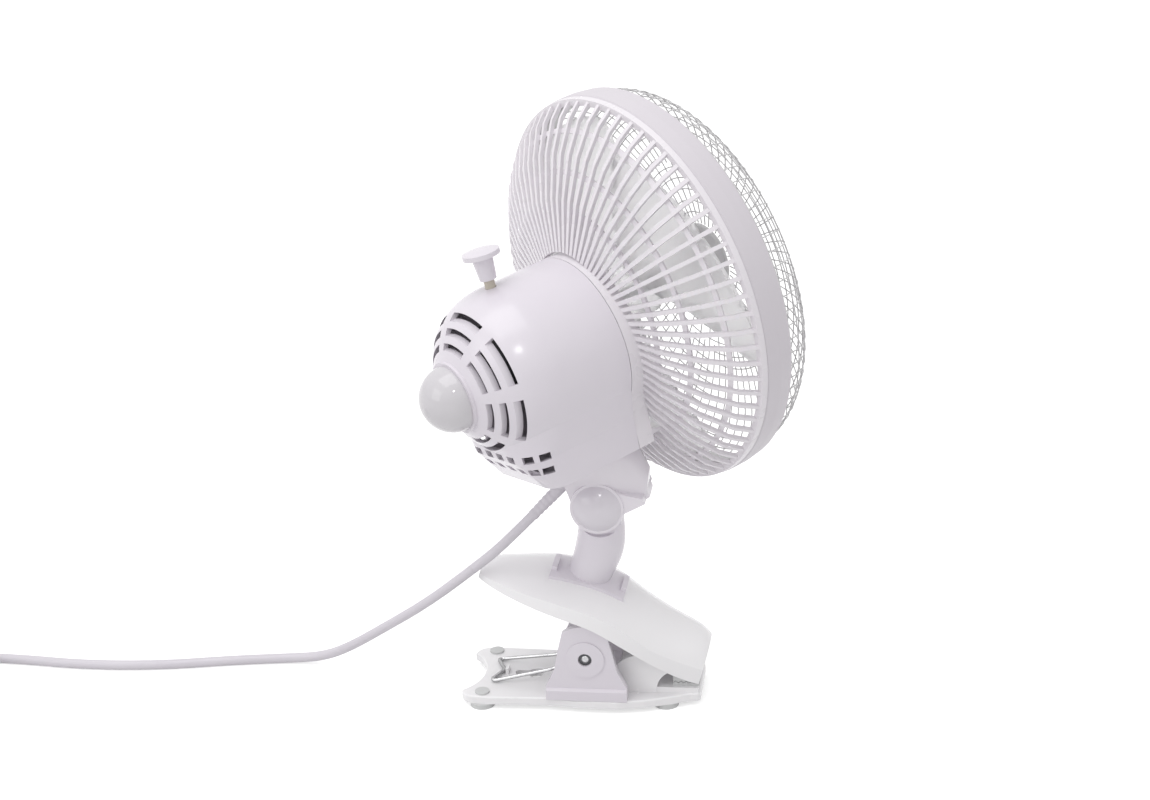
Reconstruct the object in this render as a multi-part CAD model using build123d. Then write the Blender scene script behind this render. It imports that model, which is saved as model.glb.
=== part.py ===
"""Clip fan: a spring clamp, a post with a tilting neck, and a small oscillating caged fan.

Millimetres, +Z up. The origin lies on the table under the clamp's pivot, the tail of the clamp
points to -X and its mouth to +X. The head is modelled swung back and tilted up, as it rests.
"""

import os
from math import asin, atan2, cos, degrees, hypot, pi, radians, sin, sqrt

from build123d import *

os.makedirs("parts", exist_ok=True)

# ---------------------------------------------------------------- clearances
RUNNING = 0.05        # radial clearance of a turning fit
SEAT = 0.02           # radial clearance of a fixed fit
GAP = 0.3             # air between parts that move past each other
EMBED = 0.6           # how far a rib runs into what carries it

# ---------------------------------------------------------------- clamp base
FOOT_R = 6.0
FOOT_H = 2.5
FOOT_STEM_R = 2.4
FOOT_HEAD_R = 3.5
FOOT_HEAD_H = 0.9
REAR_FOOT_X, REAR_FOOT_Y = -51.6, 20.5
FRONT_FOOT_X, FRONT_FOOT_Y = 37.0, 14.5
PLATE_T = 4.0
PLATE_EDGE = 0.6
TAIL_CORNER, NOSE_CORNER = 7.0, 2.0
PLATE_Z = FOOT_H
PLATE_TOP = PLATE_Z + PLATE_T
TAIL_X, TAIL_HALF = -62.0, 25.1
WAIST_X, WAIST_HALF = -20.0, 24.2
HIP_X, HIP_HALF = 14.0, 26.2
NOSE_X, NOSE_HALF = 53.5, 15.2
NOTCH_DEPTH, NOTCH_R = 8.4, 24.5
KEY_SLOT_W, KEY_HEAD_R = 4.4, 4.2
KEY_HEAD_X, KEY_END_X = -28.3, -36.6

BLOCK_X, BLOCK_H = 31.0, 2.7
GRIP_Y, GRIP_T = 14.0, 3.0
PAD_X, PAD_BASE, PAD_HALF = 40.4, 1.2, 13.0
TOOTH_PITCH, TOOTH_H, TEETH = 2.5, 1.1, 5
TOOTH_GAP = 0.4
UPPER_PAD_T = 2.6

# ---------------------------------------------------------------- pivot
PIVOT_Z = 28.0
CHEEK_IN, CHEEK_T = 21.5, 3.0
CHEEK_HALF = 19.5
CHEEK_TOP_R = 17.2
BOSS_R, BOSS_H = 9.2, 0.6
FLANGE_HALF, FLANGE_H = 26.0, 6.0
BRACKET_FLOOR_X, BRACKET_FLOOR_T = 11.5, 2.0
PIN_R = 2.0
PIN_SINK, SINK_R = 1.2, 3.3
SPACER_T = 1.45
EAR_IN, EAR_T, EAR_R, EAR_HALF = 17.8, 2.2, 8.0, 10.0
BASE_SCREW_X, BASE_SCREW_Y = -9.0, 9.0
SCREW_R, SCREW_HEAD_R, SCREW_HEAD_H = 1.4, 2.8, 1.6

# ---------------------------------------------------------------- clamp spring
WIRE_R = 0.9
COIL_MEAN_R = 4.6
WIRE_PITCH = 2.3
COIL_START_Y = 7.2
ARM_Z, ARM_TAIL_X, ARM_TAIL_Y = 13.0, -19.0, 7.4
CROSS_X, CROSS_Y, CROSS_Z = -47.4, 10.8, 7.8
APEX_X = -44.4
LEG_ANGLE, LEG_LENGTH = 36.8, 32.0
SEAT_PAD = 1.6

# ---------------------------------------------------------------- upper jaw
JAW_ANGLE = 17.0
JAW_WALL = 2.4
# station along the jaw, half width, lower edge, shoulder, crown
JAW_STATIONS = [
    (-60.0, 8.5, 17.5, 20.0, 22.0),
    (-54.0, 13.5, 17.5, 21.0, 24.5),
    (-42.0, 20.0, 17.8, 22.5, 27.5),
    (-28.0, 25.0, 18.3, 24.5, 30.5),
    (-14.0, 27.5, 18.5, 25.5, 31.8),
    (0.0, 28.0, 17.5, 25.0, 31.5),
    (12.0, 26.5, 13.5, 21.5, 29.5),
    (24.0, 23.5, 8.5, 15.5, 26.8),
    (36.0, 20.0, 3.8, 11.0, 24.0),
    (47.0, 17.2, 0.8, 8.8, 21.8),
    (55.2, 15.2, -0.3, 7.6, 17.6),
]
JAW_NOSE_FROM = 43.0
SADDLE_REAR, SADDLE_FRONT, SADDLE_T = -27.5, 9.5, 1.5
SADDLE_HALF = 12.0
SADDLE_EAR, SADDLE_EAR_L, SADDLE_EAR_HALF = 2.0, 2.6, 7.0

# ---------------------------------------------------------------- post and tilting neck
TILT_X, TILT_Z = 7.5, 102.4
TILT = 12.7
# height, place along X, half length, half width
POST_STATIONS = [
    (53.0, -2.4, 10.8, 10.0),
    (62.7, 1.1, 11.2, 10.4),
    (74.0, 5.3, 11.8, 11.0),
    (83.0, 6.9, 11.4, 10.8),
    (95.0, 7.3, 10.8, 10.4),
]
EYE_R, EYE_HALF, EYE_STEP_R = 10.8, 8.0, 16.8
TILT_BOLT_R, TILT_HEAD_R, TILT_HEAD_T = 2.5, 4.6, 2.9
WASHER_T, WASHER_R = 0.5, 8.0
LUG_OUT, LUG_R = 15.6, 12.6
CAP_R, CAP_H = 11.4, 5.6
NECK_TOP_R = 21.5
NECK_HALF, SWEEP_OUT = 13.4, 15.0
SLOT_R = EYE_R + 1.0

# ---------------------------------------------------------------- head
HEAD_H = 85.6
SWING = 42.7
AXIS_DROP = 9.92
SEAM_X = 11.2
ARCH_R = 40.0
FLOOR_Z = -61.35
FLOOR_HALF = 27.3
HOUSING_WALL = 2.2
REAR_START, REAR_DEPTH = -24.0, 34.6
CHIN_MID_Z, CHIN_MID_HALF, CHIN_MID_X, CHIN_CORNER = -45.0, 29.5, -47.0, 15.0
CHIN_TOP_Z, CHIN_TOP_HALF, CHIN_TOP_X = -22.0, 37.0, -51.0
CHIN_FLOOR_X = -36.5
SLOT_RINGS = (33.5, 28.4, 22.8)
SLOT_W, SLOT_ARC, SLOT_COUNT = 2.8, 39.0, 7
SLOT_START = 10.3
VENT_W, VENT_H, VENT_Z, VENT_DROP, VENT_ROWS = 5.4, 3.6, -43.5, 7.3, 2
VENT_Y, VENT_TURNS = (4.7, 14.1), (38.0, 69.0)
DOME_R = 15.5
DOME_SEAT_R, DOME_SEAT_X = 17.0, -58.6
REAR_SQUARE = 2.6

# ---------------------------------------------------------------- cage
CAGE_R = 95.0
REAR_RIM_X = 47.64
REAR_DEEP = 36.0
COLLAR_X, COLLAR_WALL = 20.0, 3.0
COLLAR_FLARE = 1.5
MOTOR_BAY_R = 27.0
RIBS, RIB_W, RIB_D, RIB_STEPS = 72, 1.9, 2.2, 4
RING_AT = (0.57, 0.80, 1.11)
RING_W, RING_T = 2.4, 1.3
RIM_W, RIM_STEP, RIM_WALL = 7.2, 2.0, 1.8
RIM_R = CAGE_R - RIM_STEP
RIM_IN = RIM_R - RIM_WALL
BAND_W, BAND_TAPER = 14.5, 0.76
BAND_FRONT_R = CAGE_R - BAND_TAPER
FRONT_R, FRONT_DEEP = RIM_R - GAP, 30.0
FRONT_RIBS, FRONT_RIB_W, FRONT_RIB_D, FRONT_STEPS = 24, 1.2, 1.8, 5
FRONT_RING_AT = (0.25, 0.52, 0.80, 1.08)
FRONT_DISC_R, FRONT_DISC_T = 17.0, 2.2

# ---------------------------------------------------------------- motor and blades
SHAFT_R = 2.5
SHAFT_REAR, SHAFT_FRONT = -30.0, 66.0
STATOR_R, STATOR_BORE = 26.0, 15.35
STATOR_REAR, STATOR_FRONT = -12.0, 4.0
ROTOR_R = 15.0
BRACKET_R, BRACKET_T = 26.5, 2.6
COIL_IN, COIL_OUT = 16.5, 23.8
BEARING_R = 5.0
HUB_BOSS_R = 7.0
GEARBOX_REAR, GEARBOX_HALF, GEARBOX_TOP, GEARBOX_LOW = -34.0, 13.0, 12.0, -14.0
BLADES, BLADE_GAP, BLADE_T = 3, 7.2, 1.8
BLADE_TIP = RIM_IN - BLADE_GAP
# radius, chord, pitch angle, camber
BLADE_STATIONS = [
    (9.0, 18.0, 36.0, 1.0),
    (28.0, 62.0, 21.0, 3.0),
    (50.0, 110.0, 12.0, 4.5),
    (86.0, 122.0, 9.5, 5.5),
]
BLADE_HUB_R, BLADE_HUB_REAR, BLADE_HUB_FRONT = 14.0, 36.0, 59.0
NUT_R, NUT_T = 5.0, 5.0
MOTOR_SCREW_AT, MOTOR_SCREWS = 20.5, 3

# ---------------------------------------------------------------- swivel and knob
SPIGOT_R, SPIGOT_LOW = 5.0, SLOT_R + 1.2
BUSH_T, BUSH_TOP = 3.0, -40.0
SPIGOT_TOP = HEAD_H + BUSH_TOP + 0.9
SWIVEL_WASHER_R, SWIVEL_WASHER_T = 7.4, 1.2
KNOB_X = -24.7
KNOB_TRAVEL = 3.4
KNOB_STEM_R, KNOB_STEM_LOW = 2.5, SHAFT_R + KNOB_TRAVEL + 2 * GAP
KNOB_SLEEVE_Z, KNOB_SLEEVE_TOP = 34.0, 45.0
KNOB_SLEEVE_R, KNOB_SLEEVE_TOP_R = 3.9, 4.9
KNOB_CAP_R, KNOB_CAP_T, KNOB_DOME = 8.7, 2.2, 1.2

# ---------------------------------------------------------------- cord
CORD_R, CORD_SIDES = 2.4, 8
RELIEF_R, RELIEF_END_R, RELIEF_SINK = 3.4, 2.8, 4.0
RELIEF_START, RELIEF_END = (-8.1, -1.9, 110.6), (-17.8, -4.4, 100.9)
FIRST_RUN = 28.0
CORD_ROUTE = [
    (-53.0, -12.0, 68.8),
    (-77.7, -9.0, 48.3),
    (-103.0, -1.5, 29.6),
    (-124.0, 7.0, 13.6),
    (-140.0, 13.6, 4.4),
    (-158.0, 14.5, CORD_R),
    (-186.0, 10.5, CORD_R),
    (-222.0, 3.0, CORD_R),
    (-262.0, 1.0, CORD_R),
    (-298.0, 5.0, CORD_R),
]
COIL_X, COIL_R, COIL_TURNS = -342.5, 36.5, 3
COIL_STEP = 2 * CORD_R + 0.5
COIL_SIDES = 6
PLUG_L, PLUG_HALF = 34.0, 11.0
PLUG_TAIL = 26.0
PLUG_PIN_R, PLUG_PIN_L, PLUG_PIN_Y = 2.0, 19.0, 9.3

# ---------------------------------------------------------------- frames
JAW = Pos(0, 0, PIVOT_Z) * Rot(0, JAW_ANGLE, 0)
NECK = Pos(TILT_X, 0, TILT_Z) * Rot(0, -TILT, 0)
HEAD = NECK * Pos(0, 0, HEAD_H) * Rot(0, 0, SWING)


# ---------------------------------------------------------------- helpers
def save(name, shape):
    """Write one piece, or one group of like pieces, to its own file."""
    solids = shape.solids()
    shape = solids[0] if len(solids) == 1 else Compound(children=list(solids))
    export_step(shape, f"parts/{name}.step")
    print(name, len(solids), round(sum(s.volume for s in solids), 1))


def both(shape):
    """The shape and its mirror image across the XZ plane."""
    return shape + mirror(shape, Plane.XZ)


def side_plate(points, y_in, y_out):
    """A plate parallel to the XZ plane between two distances from it, on the +Y side."""
    face = Plane.XZ * make_face(Polyline(*points, close=True))
    return Pos(0, y_out, 0) * extrude(face, y_out - y_in)


def rod(radius, start, end, axis="X"):
    """A cylinder along one axis from one coordinate to another."""
    length = end - start
    turn = {"X": Rot(0, 90, 0), "Y": Rot(-90, 0, 0), "Z": Rot(0, 0, 0)}[axis]
    move = {"X": (start, 0, 0), "Y": (0, start, 0), "Z": (0, 0, start)}[axis]
    bottom = (Align.CENTER, Align.CENTER, Align.MIN)
    return Pos(*move) * turn * Cylinder(radius, length, align=bottom)


def ring(outer, inner, start, end, axis="X"):
    """A plain ring about one axis."""
    return rod(outer, start, end, axis) - rod(inner, start - 1, end + 1, axis)


def block(x0, x1, y0, y1, z0, z1):
    """A box between two corners."""
    low = (Align.MIN, Align.MIN, Align.MIN)
    return Pos(x0, y0, z0) * Box(x1 - x0, y1 - y0, z1 - z0, align=low)


def turned(points):
    """A body turned about the X axis from a profile of (x, radius) points."""
    face = make_face(Polyline(*points, close=True))
    return revolve(face, Axis.X)


def biarc(p0, t0, p1, t1):
    """Two arcs that join two points with the given directions, or a line where they are in line."""
    p0, p1 = Vector(*p0), Vector(*p1)
    t0, t1 = Vector(*t0).normalized(), Vector(*t1).normalized()
    v, t = p1 - p0, t0 + t1
    bend = 2 * (1 - t0.dot(t1))
    if bend < 1e-9 and v.cross(t0).length < 1e-6:
        return [Edge.make_line(p0, p1)]
    if bend < 1e-9:
        d = v.dot(v) / (4 * v.dot(t1))
    else:
        d = (-v.dot(t) + sqrt(v.dot(t) ** 2 + bend * v.dot(v))) / bend
    q0, q1 = p0 + t0 * d, p1 - t1 * d
    middle = (q0 + q1) * 0.5
    across = (q1 - q0).normalized()
    arcs = []
    for a, ta, b in ((p0, t0, middle), (middle, across, p1)):
        if (b - a).cross(ta).length < 1e-6:
            arcs.append(Edge.make_line(a, b))
        else:
            arcs.append(Edge.make_tangent_arc(a, ta, b))
    return arcs


def wound(nodes, radius, sides):
    """One unbroken tube through (point, direction) nodes."""
    edges = []
    for (p0, t0), (p1, t1) in zip(nodes, nodes[1:]):
        edges += biarc(p0, t0, p1, t1)
    path = Wire(edges)
    section = Plane(origin=path @ 0, z_dir=path % 0) * RegularPolygon(radius, sides)
    return sweep(section, path=path), path


def least_gap(path, radius, skip):
    """The least gap of a tube to itself, from points along it, past its own neighbours."""
    count = 1500
    points = [path @ (i / count) for i in range(count + 1)]
    step = path.length / count
    far = int(skip / step)
    best = 1e9
    for i in range(0, count, 3):
        for j in range(i + far, count, 3):
            best = min(best, (points[i] - points[j]).length)
    return best - 2 * radius


# ---------------------------------------------------------------- base plate
def plate_outline():
    half = [
        (TAIL_X, TAIL_HALF - 0.8),
        (TAIL_X + 14, TAIL_HALF),
        (WAIST_X, WAIST_HALF),
        (-4.0, HIP_HALF - 0.4),
        (HIP_X, HIP_HALF),
        (27.0, 23.8),
        (42.0, 18.6),
        (NOSE_X - 5, NOSE_HALF + 0.6),
        (NOSE_X, NOSE_HALF),
    ]
    points = half + [(x, -y) for x, y in reversed(half)]
    face = make_face(Polyline(*points, close=True))
    corners = face.vertices()
    tail = corners.filter_by(lambda v: v.X < TAIL_X + 1)
    face = fillet(tail, TAIL_CORNER)
    face = fillet(face.vertices().filter_by(lambda v: v.X > NOSE_X - 1), NOSE_CORNER)
    centre = TAIL_X + NOTCH_DEPTH - NOTCH_R
    return face - Pos(centre, 0, 0) * Circle(NOTCH_R)


def keyhole():
    slot = Pos(KEY_HEAD_X, 0, 0) * Circle(KEY_HEAD_R)
    slot += Pos(KEY_END_X, 0, 0) * Circle(KEY_SLOT_W / 2)
    middle = (KEY_HEAD_X + KEY_END_X) / 2
    slot += Pos(middle, 0, 0) * Rectangle(KEY_HEAD_X - KEY_END_X, KEY_SLOT_W)
    return slot


def grip_wall():
    top = [(12.6, 18.5), (17.2, 23.7), (23.4, 26.0)]
    front = [(39.2, 17.6), (34.2, 13.4), (32.6, 8.0)]
    edge = Line((13.4, PLATE_TOP - EMBED), top[0]) + ThreePointArc(*top)
    edge += Line(top[2], (36.0, 22.0)) + Line((36.0, 22.0), front[0])
    edge += ThreePointArc(*front) + Line(front[2], (32.6, PLATE_TOP - EMBED))
    edge += Line((32.6, PLATE_TOP - EMBED), (13.4, PLATE_TOP - EMBED))
    face = Plane.XZ * make_face(edge)
    wall = extrude(face, GRIP_T)
    return Pos(0, GRIP_Y + GRIP_T / 2, 0) * wall


def base_plate():
    plate = Pos(0, 0, PLATE_Z) * extrude(plate_outline(), PLATE_T)
    plate = chamfer(plate.faces().sort_by(Axis.Z)[-1].edges(), PLATE_EDGE)
    plate += block(BLOCK_X, NOSE_X - 1.0, -15.0, 15.0, PLATE_TOP - EMBED, PLATE_TOP + BLOCK_H)
    plate += both(grip_wall())
    stop = APEX_X + WIRE_R + GAP
    plate += block(stop, stop + 1.5, -2.6, 2.6, PLATE_TOP - EMBED, CROSS_Z + 1.8)
    plate += block(stop - 3.9, stop, -2.6, 2.6, PLATE_TOP - EMBED, CROSS_Z - WIRE_R - GAP)
    plate -= Pos(0, 0, PLATE_Z - 1) * extrude(keyhole(), PLATE_T + 2)
    for x, y, depth in (
        (REAR_FOOT_X, REAR_FOOT_Y, PLATE_T + 1),
        (FRONT_FOOT_X, FRONT_FOOT_Y, PLATE_T - 0.8),
    ):
        hole = Pos(x, y, 0) * rod(FOOT_STEM_R + SEAT, PLATE_Z - 1, PLATE_Z + depth, "Z")
        plate -= both(hole)
    for hole in (
        rod(SCREW_R + SEAT, PLATE_Z - 1, PLATE_TOP + 1, "Z"),
        rod(SCREW_HEAD_R + 0.1, PLATE_Z - 1, PLATE_Z + SCREW_HEAD_H, "Z"),
    ):
        plate -= both(Pos(BASE_SCREW_X, BASE_SCREW_Y, 0) * hole)
    return plate


def rubber_feet():
    rear = rod(FOOT_R, 0, FOOT_H, "Z") + rod(FOOT_STEM_R, 0, PLATE_TOP, "Z")
    rear += rod(FOOT_HEAD_R, PLATE_TOP, PLATE_TOP + FOOT_HEAD_H, "Z")
    front = rod(FOOT_R, 0, FOOT_H, "Z") + rod(FOOT_STEM_R, 0, PLATE_TOP - 1.0, "Z")
    rear = Pos(REAR_FOOT_X, REAR_FOOT_Y, 0) * rear
    front = Pos(FRONT_FOOT_X, FRONT_FOOT_Y, 0) * front
    return both(rear) + both(front)


def base_screws():
    screw = rod(SCREW_HEAD_R, PLATE_Z + 0.3, PLATE_Z + SCREW_HEAD_H, "Z")
    screw += rod(SCREW_R, PLATE_Z + SCREW_HEAD_H, PLATE_TOP + BRACKET_FLOOR_T - 0.4, "Z")
    return both(Pos(BASE_SCREW_X, BASE_SCREW_Y, 0) * screw)


def teeth(z_valley):
    """Zigzag of the grip's teeth, from the rear of the pad to its front."""
    points = []
    for i in range(TEETH):
        points.append((PAD_X + i * TOOTH_PITCH, z_valley))
        points.append((PAD_X + (i + 0.5) * TOOTH_PITCH, z_valley + TOOTH_H))
    points.append((PAD_X + TEETH * TOOTH_PITCH, z_valley))
    return points


PAD_Z = PLATE_TOP + BLOCK_H
PAD_VALLEY = PAD_Z + PAD_BASE
PAD_SEAT_Z = PAD_VALLEY + TOOTH_GAP + TOOTH_H + UPPER_PAD_T


def lower_pad():
    front = PAD_X + TEETH * TOOTH_PITCH
    points = [(PAD_X, PAD_Z)] + teeth(PAD_VALLEY) + [(front, PAD_Z)]
    return side_plate(points, -PAD_HALF, PAD_HALF)


def upper_pad():
    front = PAD_X + TEETH * TOOTH_PITCH
    low = teeth(PAD_VALLEY + TOOTH_GAP)
    points = low + [(front, PAD_SEAT_Z), (PAD_X, PAD_SEAT_Z)]
    return side_plate(points, -PAD_HALF, PAD_HALF)


# ---------------------------------------------------------------- pivot
def pivot_bracket():
    low = PLATE_TOP
    cheek = [
        (-CHEEK_HALF, low),
        (-CHEEK_HALF, 13.0),
        (-15.0, 22.0),
        (-13.0, 32.0),
        (-10.6, PIVOT_Z + sqrt(CHEEK_TOP_R**2 - 10.6**2)),
    ]
    right = [(-x, z) for x, z in reversed(cheek)]
    edge = Polyline(*cheek) + ThreePointArc(cheek[-1], (0, PIVOT_Z + CHEEK_TOP_R), right[0])
    edge += Polyline(*right) + Line(right[-1], cheek[0])
    side = Plane.XZ * make_face(edge)
    plate = Pos(0, CHEEK_IN + CHEEK_T, 0) * extrude(side, CHEEK_T)
    y_face = CHEEK_IN + CHEEK_T
    plate += Pos(0, 0, PIVOT_Z) * rod(BOSS_R, y_face - EMBED, y_face + BOSS_H, "Y")
    flange = block(-CHEEK_HALF, CHEEK_HALF, CHEEK_IN, FLANGE_HALF, low, low + FLANGE_H)
    edges = flange.edges().filter_by(Axis.X)
    top = edges.sort_by(lambda e: e.center().Y + e.center().Z)[-1]
    plate += chamfer(top, 1.2)
    plate -= Pos(0, 0, PIVOT_Z) * rod(PIN_R + SEAT, CHEEK_IN - 1, y_face + 2, "Y")
    deep = y_face + BOSS_H - PIN_SINK
    plate -= Pos(0, 0, PIVOT_Z) * rod(SINK_R, deep, y_face + 2, "Y")
    body = both(plate)
    body += block(
        -CHEEK_HALF, BRACKET_FLOOR_X, -CHEEK_IN - 0.5, CHEEK_IN + 0.5, low, low + BRACKET_FLOOR_T
    )
    hole = rod(SCREW_R + SEAT, low - 1, low + BRACKET_FLOOR_T - 0.3, "Z")
    return body - both(Pos(BASE_SCREW_X, BASE_SCREW_Y, 0) * hole)


def pivot_pin():
    end = CHEEK_IN + CHEEK_T + BOSS_H - PIN_SINK + 0.9
    pin = Pos(0, 0, PIVOT_Z) * rod(PIN_R, -end, end, "Y")
    return chamfer(pin.edges().filter_by(GeomType.CIRCLE), 0.4)


def pivot_spacer():
    half = EAR_IN - GAP
    return Pos(0, 0, PIVOT_Z) * ring(PIN_R + SPACER_T, PIN_R + RUNNING, -half, half, "Y")


def on_coil(angle, y):
    """Point and direction on the spring's coil, counterclockwise seen from -Y."""
    a = radians(angle)
    rise = WIRE_PITCH / (2 * pi)
    place = (COIL_MEAN_R * cos(a), y, PIVOT_Z + COIL_MEAN_R * sin(a))
    return place, (-COIL_MEAN_R * sin(a), rise, COIL_MEAN_R * cos(a))


def coil_angles():
    """Where the arm meets the coil, and the angles of its quarter turns up to the leg."""
    dx, dz = -ARM_TAIL_X, PIVOT_Z - ARM_Z
    start = degrees(atan2(dz, dx)) - degrees(asin(COIL_MEAN_R / hypot(dx, dz))) - 90
    end = LEG_ANGLE + 720
    count = int((end - start) / 80)
    return [start + (end - start) * i / count for i in range(count + 1)]


def clamp_spring():
    angles = coil_angles()
    half = []
    for angle in angles:
        y = COIL_START_Y + WIRE_PITCH * (angle - angles[0]) / 360
        half.append(on_coil(angle, y))
    first = half[0][0]
    tail = (ARM_TAIL_X, ARM_TAIL_Y, ARM_Z)
    corner = (CROSS_X + 1.4, CROSS_Y, CROSS_Z)
    run = [a - b for a, b in zip(first, tail)]
    arm = [a - b for a, b in zip(tail, corner)]
    before = (CROSS_X - 0.7, CROSS_Y - 2.2, CROSS_Z)
    out = (before[0] - APEX_X - 0.4, before[1] - 2.0, 0.0)
    lead = [
        ((APEX_X, 0.0, CROSS_Z), (0, 1, 0)),
        ((APEX_X - 0.6, 2.2, CROSS_Z), out),
        (before, out),
        (corner, arm),
        ((tail[0] - 1.5, tail[1] + 0.1, tail[2] - 0.25), arm),
        ((tail[0] + 1.5, first[1], tail[2] + 0.9), run),
    ]
    right = lead + half
    left = []
    for (x, y, z), (a, b, c) in reversed(right[1:]):
        left.append(((x, -y, z), (-a, b, -c)))
    nodes = left + [right[0]] + right[1:]
    body, path = wound(nodes, WIRE_R, 6)
    print("spring least gap to itself", round(least_gap(path, WIRE_R, 9.0), 2))
    return body


def spring_legs():
    angles = coil_angles()
    y = COIL_START_Y + WIRE_PITCH * (angles[-1] - angles[0]) / 360
    place, way = on_coil(angles[-1], y)
    way = Vector(way[0], 0, way[2]).normalized()
    start = Vector(*place) + way * GAP
    leg = Plane(origin=start, z_dir=way) * extrude(RegularPolygon(WIRE_R, 6), LEG_LENGTH)
    return both(leg)


def leg_end():
    """Where the leg's wire touches its pad in the jaw, in the jaw's own frame."""
    angles = coil_angles()
    place, way = on_coil(angles[-1], 0)
    way = Vector(way[0], 0, way[2]).normalized()
    end = Vector(*place) + way * (GAP + LEG_LENGTH)
    y = COIL_START_Y + WIRE_PITCH * (angles[-1] - angles[0]) / 360
    x, z = end.X, end.Z - PIVOT_Z
    a = radians(JAW_ANGLE)
    return x * cos(a) - z * sin(a), y, x * sin(a) + z * cos(a)


# ---------------------------------------------------------------- upper jaw
def jaw_section(x, half, low, side, crown):
    edge = Line((-half, low), (half, low)) + Line((half, low), (half, side))
    edge += ThreePointArc((half, side), (0, crown), (-half, side))
    edge += Line((-half, side), (-half, low))
    plane = Plane(origin=(x, 0, 0), x_dir=(0, 1, 0), z_dir=(1, 0, 0))
    return plane * make_face(edge)


def jaw_form(grow=0.0, drop=0.0, first=0.0, last=0.0):
    """The jaw's outer form, grown by a distance, with its lower edge dropped further."""
    sections = []
    for i, (x, half, low, side, crown) in enumerate(JAW_STATIONS):
        if i == 0:
            x += first
        if i == len(JAW_STATIONS) - 1:
            x -= last
        sections.append(jaw_section(x, half + grow, low - drop, side + grow * 0.6, crown + grow))
    return loft(sections)


def upper_jaw():
    outer = jaw_form()
    inner = jaw_form(-JAW_WALL, 12.0, JAW_WALL, JAW_WALL)
    nose = block(JAW_NOSE_FROM, 70, -30, 30, -20, 6.0)
    jaw = outer - (inner - nose)
    ear_top = block(-EAR_HALF, EAR_HALF, EAR_IN, EAR_IN + EAR_T, 17.0, 40) & outer
    low = [(-EAR_HALF, 20.0), (-EAR_R, 0), (EAR_R, 0), (EAR_HALF, 20.0)]
    ear = ear_top + side_plate(low, EAR_IN, EAR_IN + EAR_T) + rod(EAR_R, EAR_IN, EAR_IN + EAR_T, "Y")
    jaw += both(ear)
    x, y, z = leg_end()
    pad = block(x - 3, x + 3, y - 2, y + 2, z + WIRE_R + GAP, 40) & outer
    jaw += both(pad)
    jaw -= rod(PIN_R + RUNNING, -40, 40, "Y")
    jaw = JAW * jaw
    front = PAD_X + TEETH * TOOTH_PITCH
    return jaw - block(PAD_X - 4, front + 6, -PAD_HALF - 0.1, PAD_HALF + 0.1, 0, PAD_SEAT_Z)


def post():
    outer = jaw_form(SADDLE_T)
    saddle = outer & block(SADDLE_REAR, SADDLE_FRONT, -SADDLE_HALF, SADDLE_HALF, 20, 60)
    ears = jaw_form(SADDLE_T + SADDLE_EAR)
    for x in (SADDLE_REAR, SADDLE_FRONT - SADDLE_EAR_L):
        saddle += ears & block(x, x + SADDLE_EAR_L, -SADDLE_EAR_HALF, SADDLE_EAR_HALF, 20, 60)
    saddle = JAW * saddle
    column = loft([Pos(x, 0, z) * Ellipse(a, b) for z, x, a, b in POST_STATIONS])
    step = Pos(TILT_X, 0, TILT_Z) * rod(EYE_STEP_R, EYE_HALF, 30, "Y")
    column -= both(step)
    z, x, half, _ = POST_STATIONS[-1]
    stem = [(x - half + 0.4, z - 4), (x + half - 0.4, z - 4)]
    stem += [(TILT_X + EYE_R, TILT_Z), (TILT_X - EYE_R, TILT_Z)]
    column += side_plate(stem, -EYE_HALF, EYE_HALF)
    column += Pos(TILT_X, 0, TILT_Z) * rod(EYE_R, -EYE_HALF, EYE_HALF, "Y")
    column -= Pos(TILT_X, 0, TILT_Z) * rod(TILT_BOLT_R + RUNNING, -20, 20, "Y")
    body = saddle + column
    return body - JAW * jaw_form()


# ---------------------------------------------------------------- neck (its own frame)
def neck():
    """Trunk under the head, with two round lugs whose upper edge sweeps out to a blunt tip."""
    top = HEAD_H + FLOOR_Z - GAP
    trunk = [
        (-LUG_R, -4.0),
        (-LUG_R - 0.6, 14.0),
        (-NECK_TOP_R, top),
        (NECK_TOP_R + 1.0, top),
        (26.5, 10.0),
        (23.4, 1.0),
        (24.0, -2.6),
        (11.0, -6.0),
        (0.0, -LUG_R + 1.0),
    ]
    body = side_plate(trunk, -NECK_HALF - 6, NECK_HALF + 6)
    form = loft(
        [
            Pos(4.0, 0, -14.5) * Ellipse(22.0, NECK_HALF),
            Pos(4.0, 0, 6.0) * Ellipse(22.6, NECK_HALF + 0.6),
            Pos(0, 0, top) * Ellipse(NECK_TOP_R, NECK_TOP_R - 0.01),
        ]
    )
    body = body & form
    edge = [(0.0, -LUG_R), (11.4, -5.4), (22.6, -2.4), (22.2, 0.2), (13.0, 4.6)]
    edge += [(5.0, LUG_R - 1.2), (0.0, LUG_R)]
    body += both(side_plate(edge, EYE_HALF, SWEEP_OUT))
    body += both(rod(LUG_R, EYE_HALF, LUG_OUT, "Y"))
    body -= rod(SLOT_R, -EYE_HALF - WASHER_T - 0.1, EYE_HALF + WASHER_T + 0.1, "Y")
    wide = EYE_HALF + WASHER_T + 0.1
    body -= block(-30, 14, -wide, wide, -30, 6.0)
    body -= rod(TILT_BOLT_R + SEAT, -30, 30, "Y")
    seat = LUG_OUT - TILT_HEAD_T
    body -= both(rod(TILT_HEAD_R + 0.1, seat, 30, "Y"))
    body -= rod(SPIGOT_R + SEAT, SPIGOT_LOW, 40, "Z")
    return body


def hinge_caps():
    big = (CAP_R**2 + CAP_H**2) / (2 * CAP_H)
    ball = Pos(0, LUG_OUT + CAP_H - big, 0) * Sphere(big)
    cap = ball & rod(CAP_R, LUG_OUT, LUG_OUT + CAP_H + 1, "Y")
    return both(cap)


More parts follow.
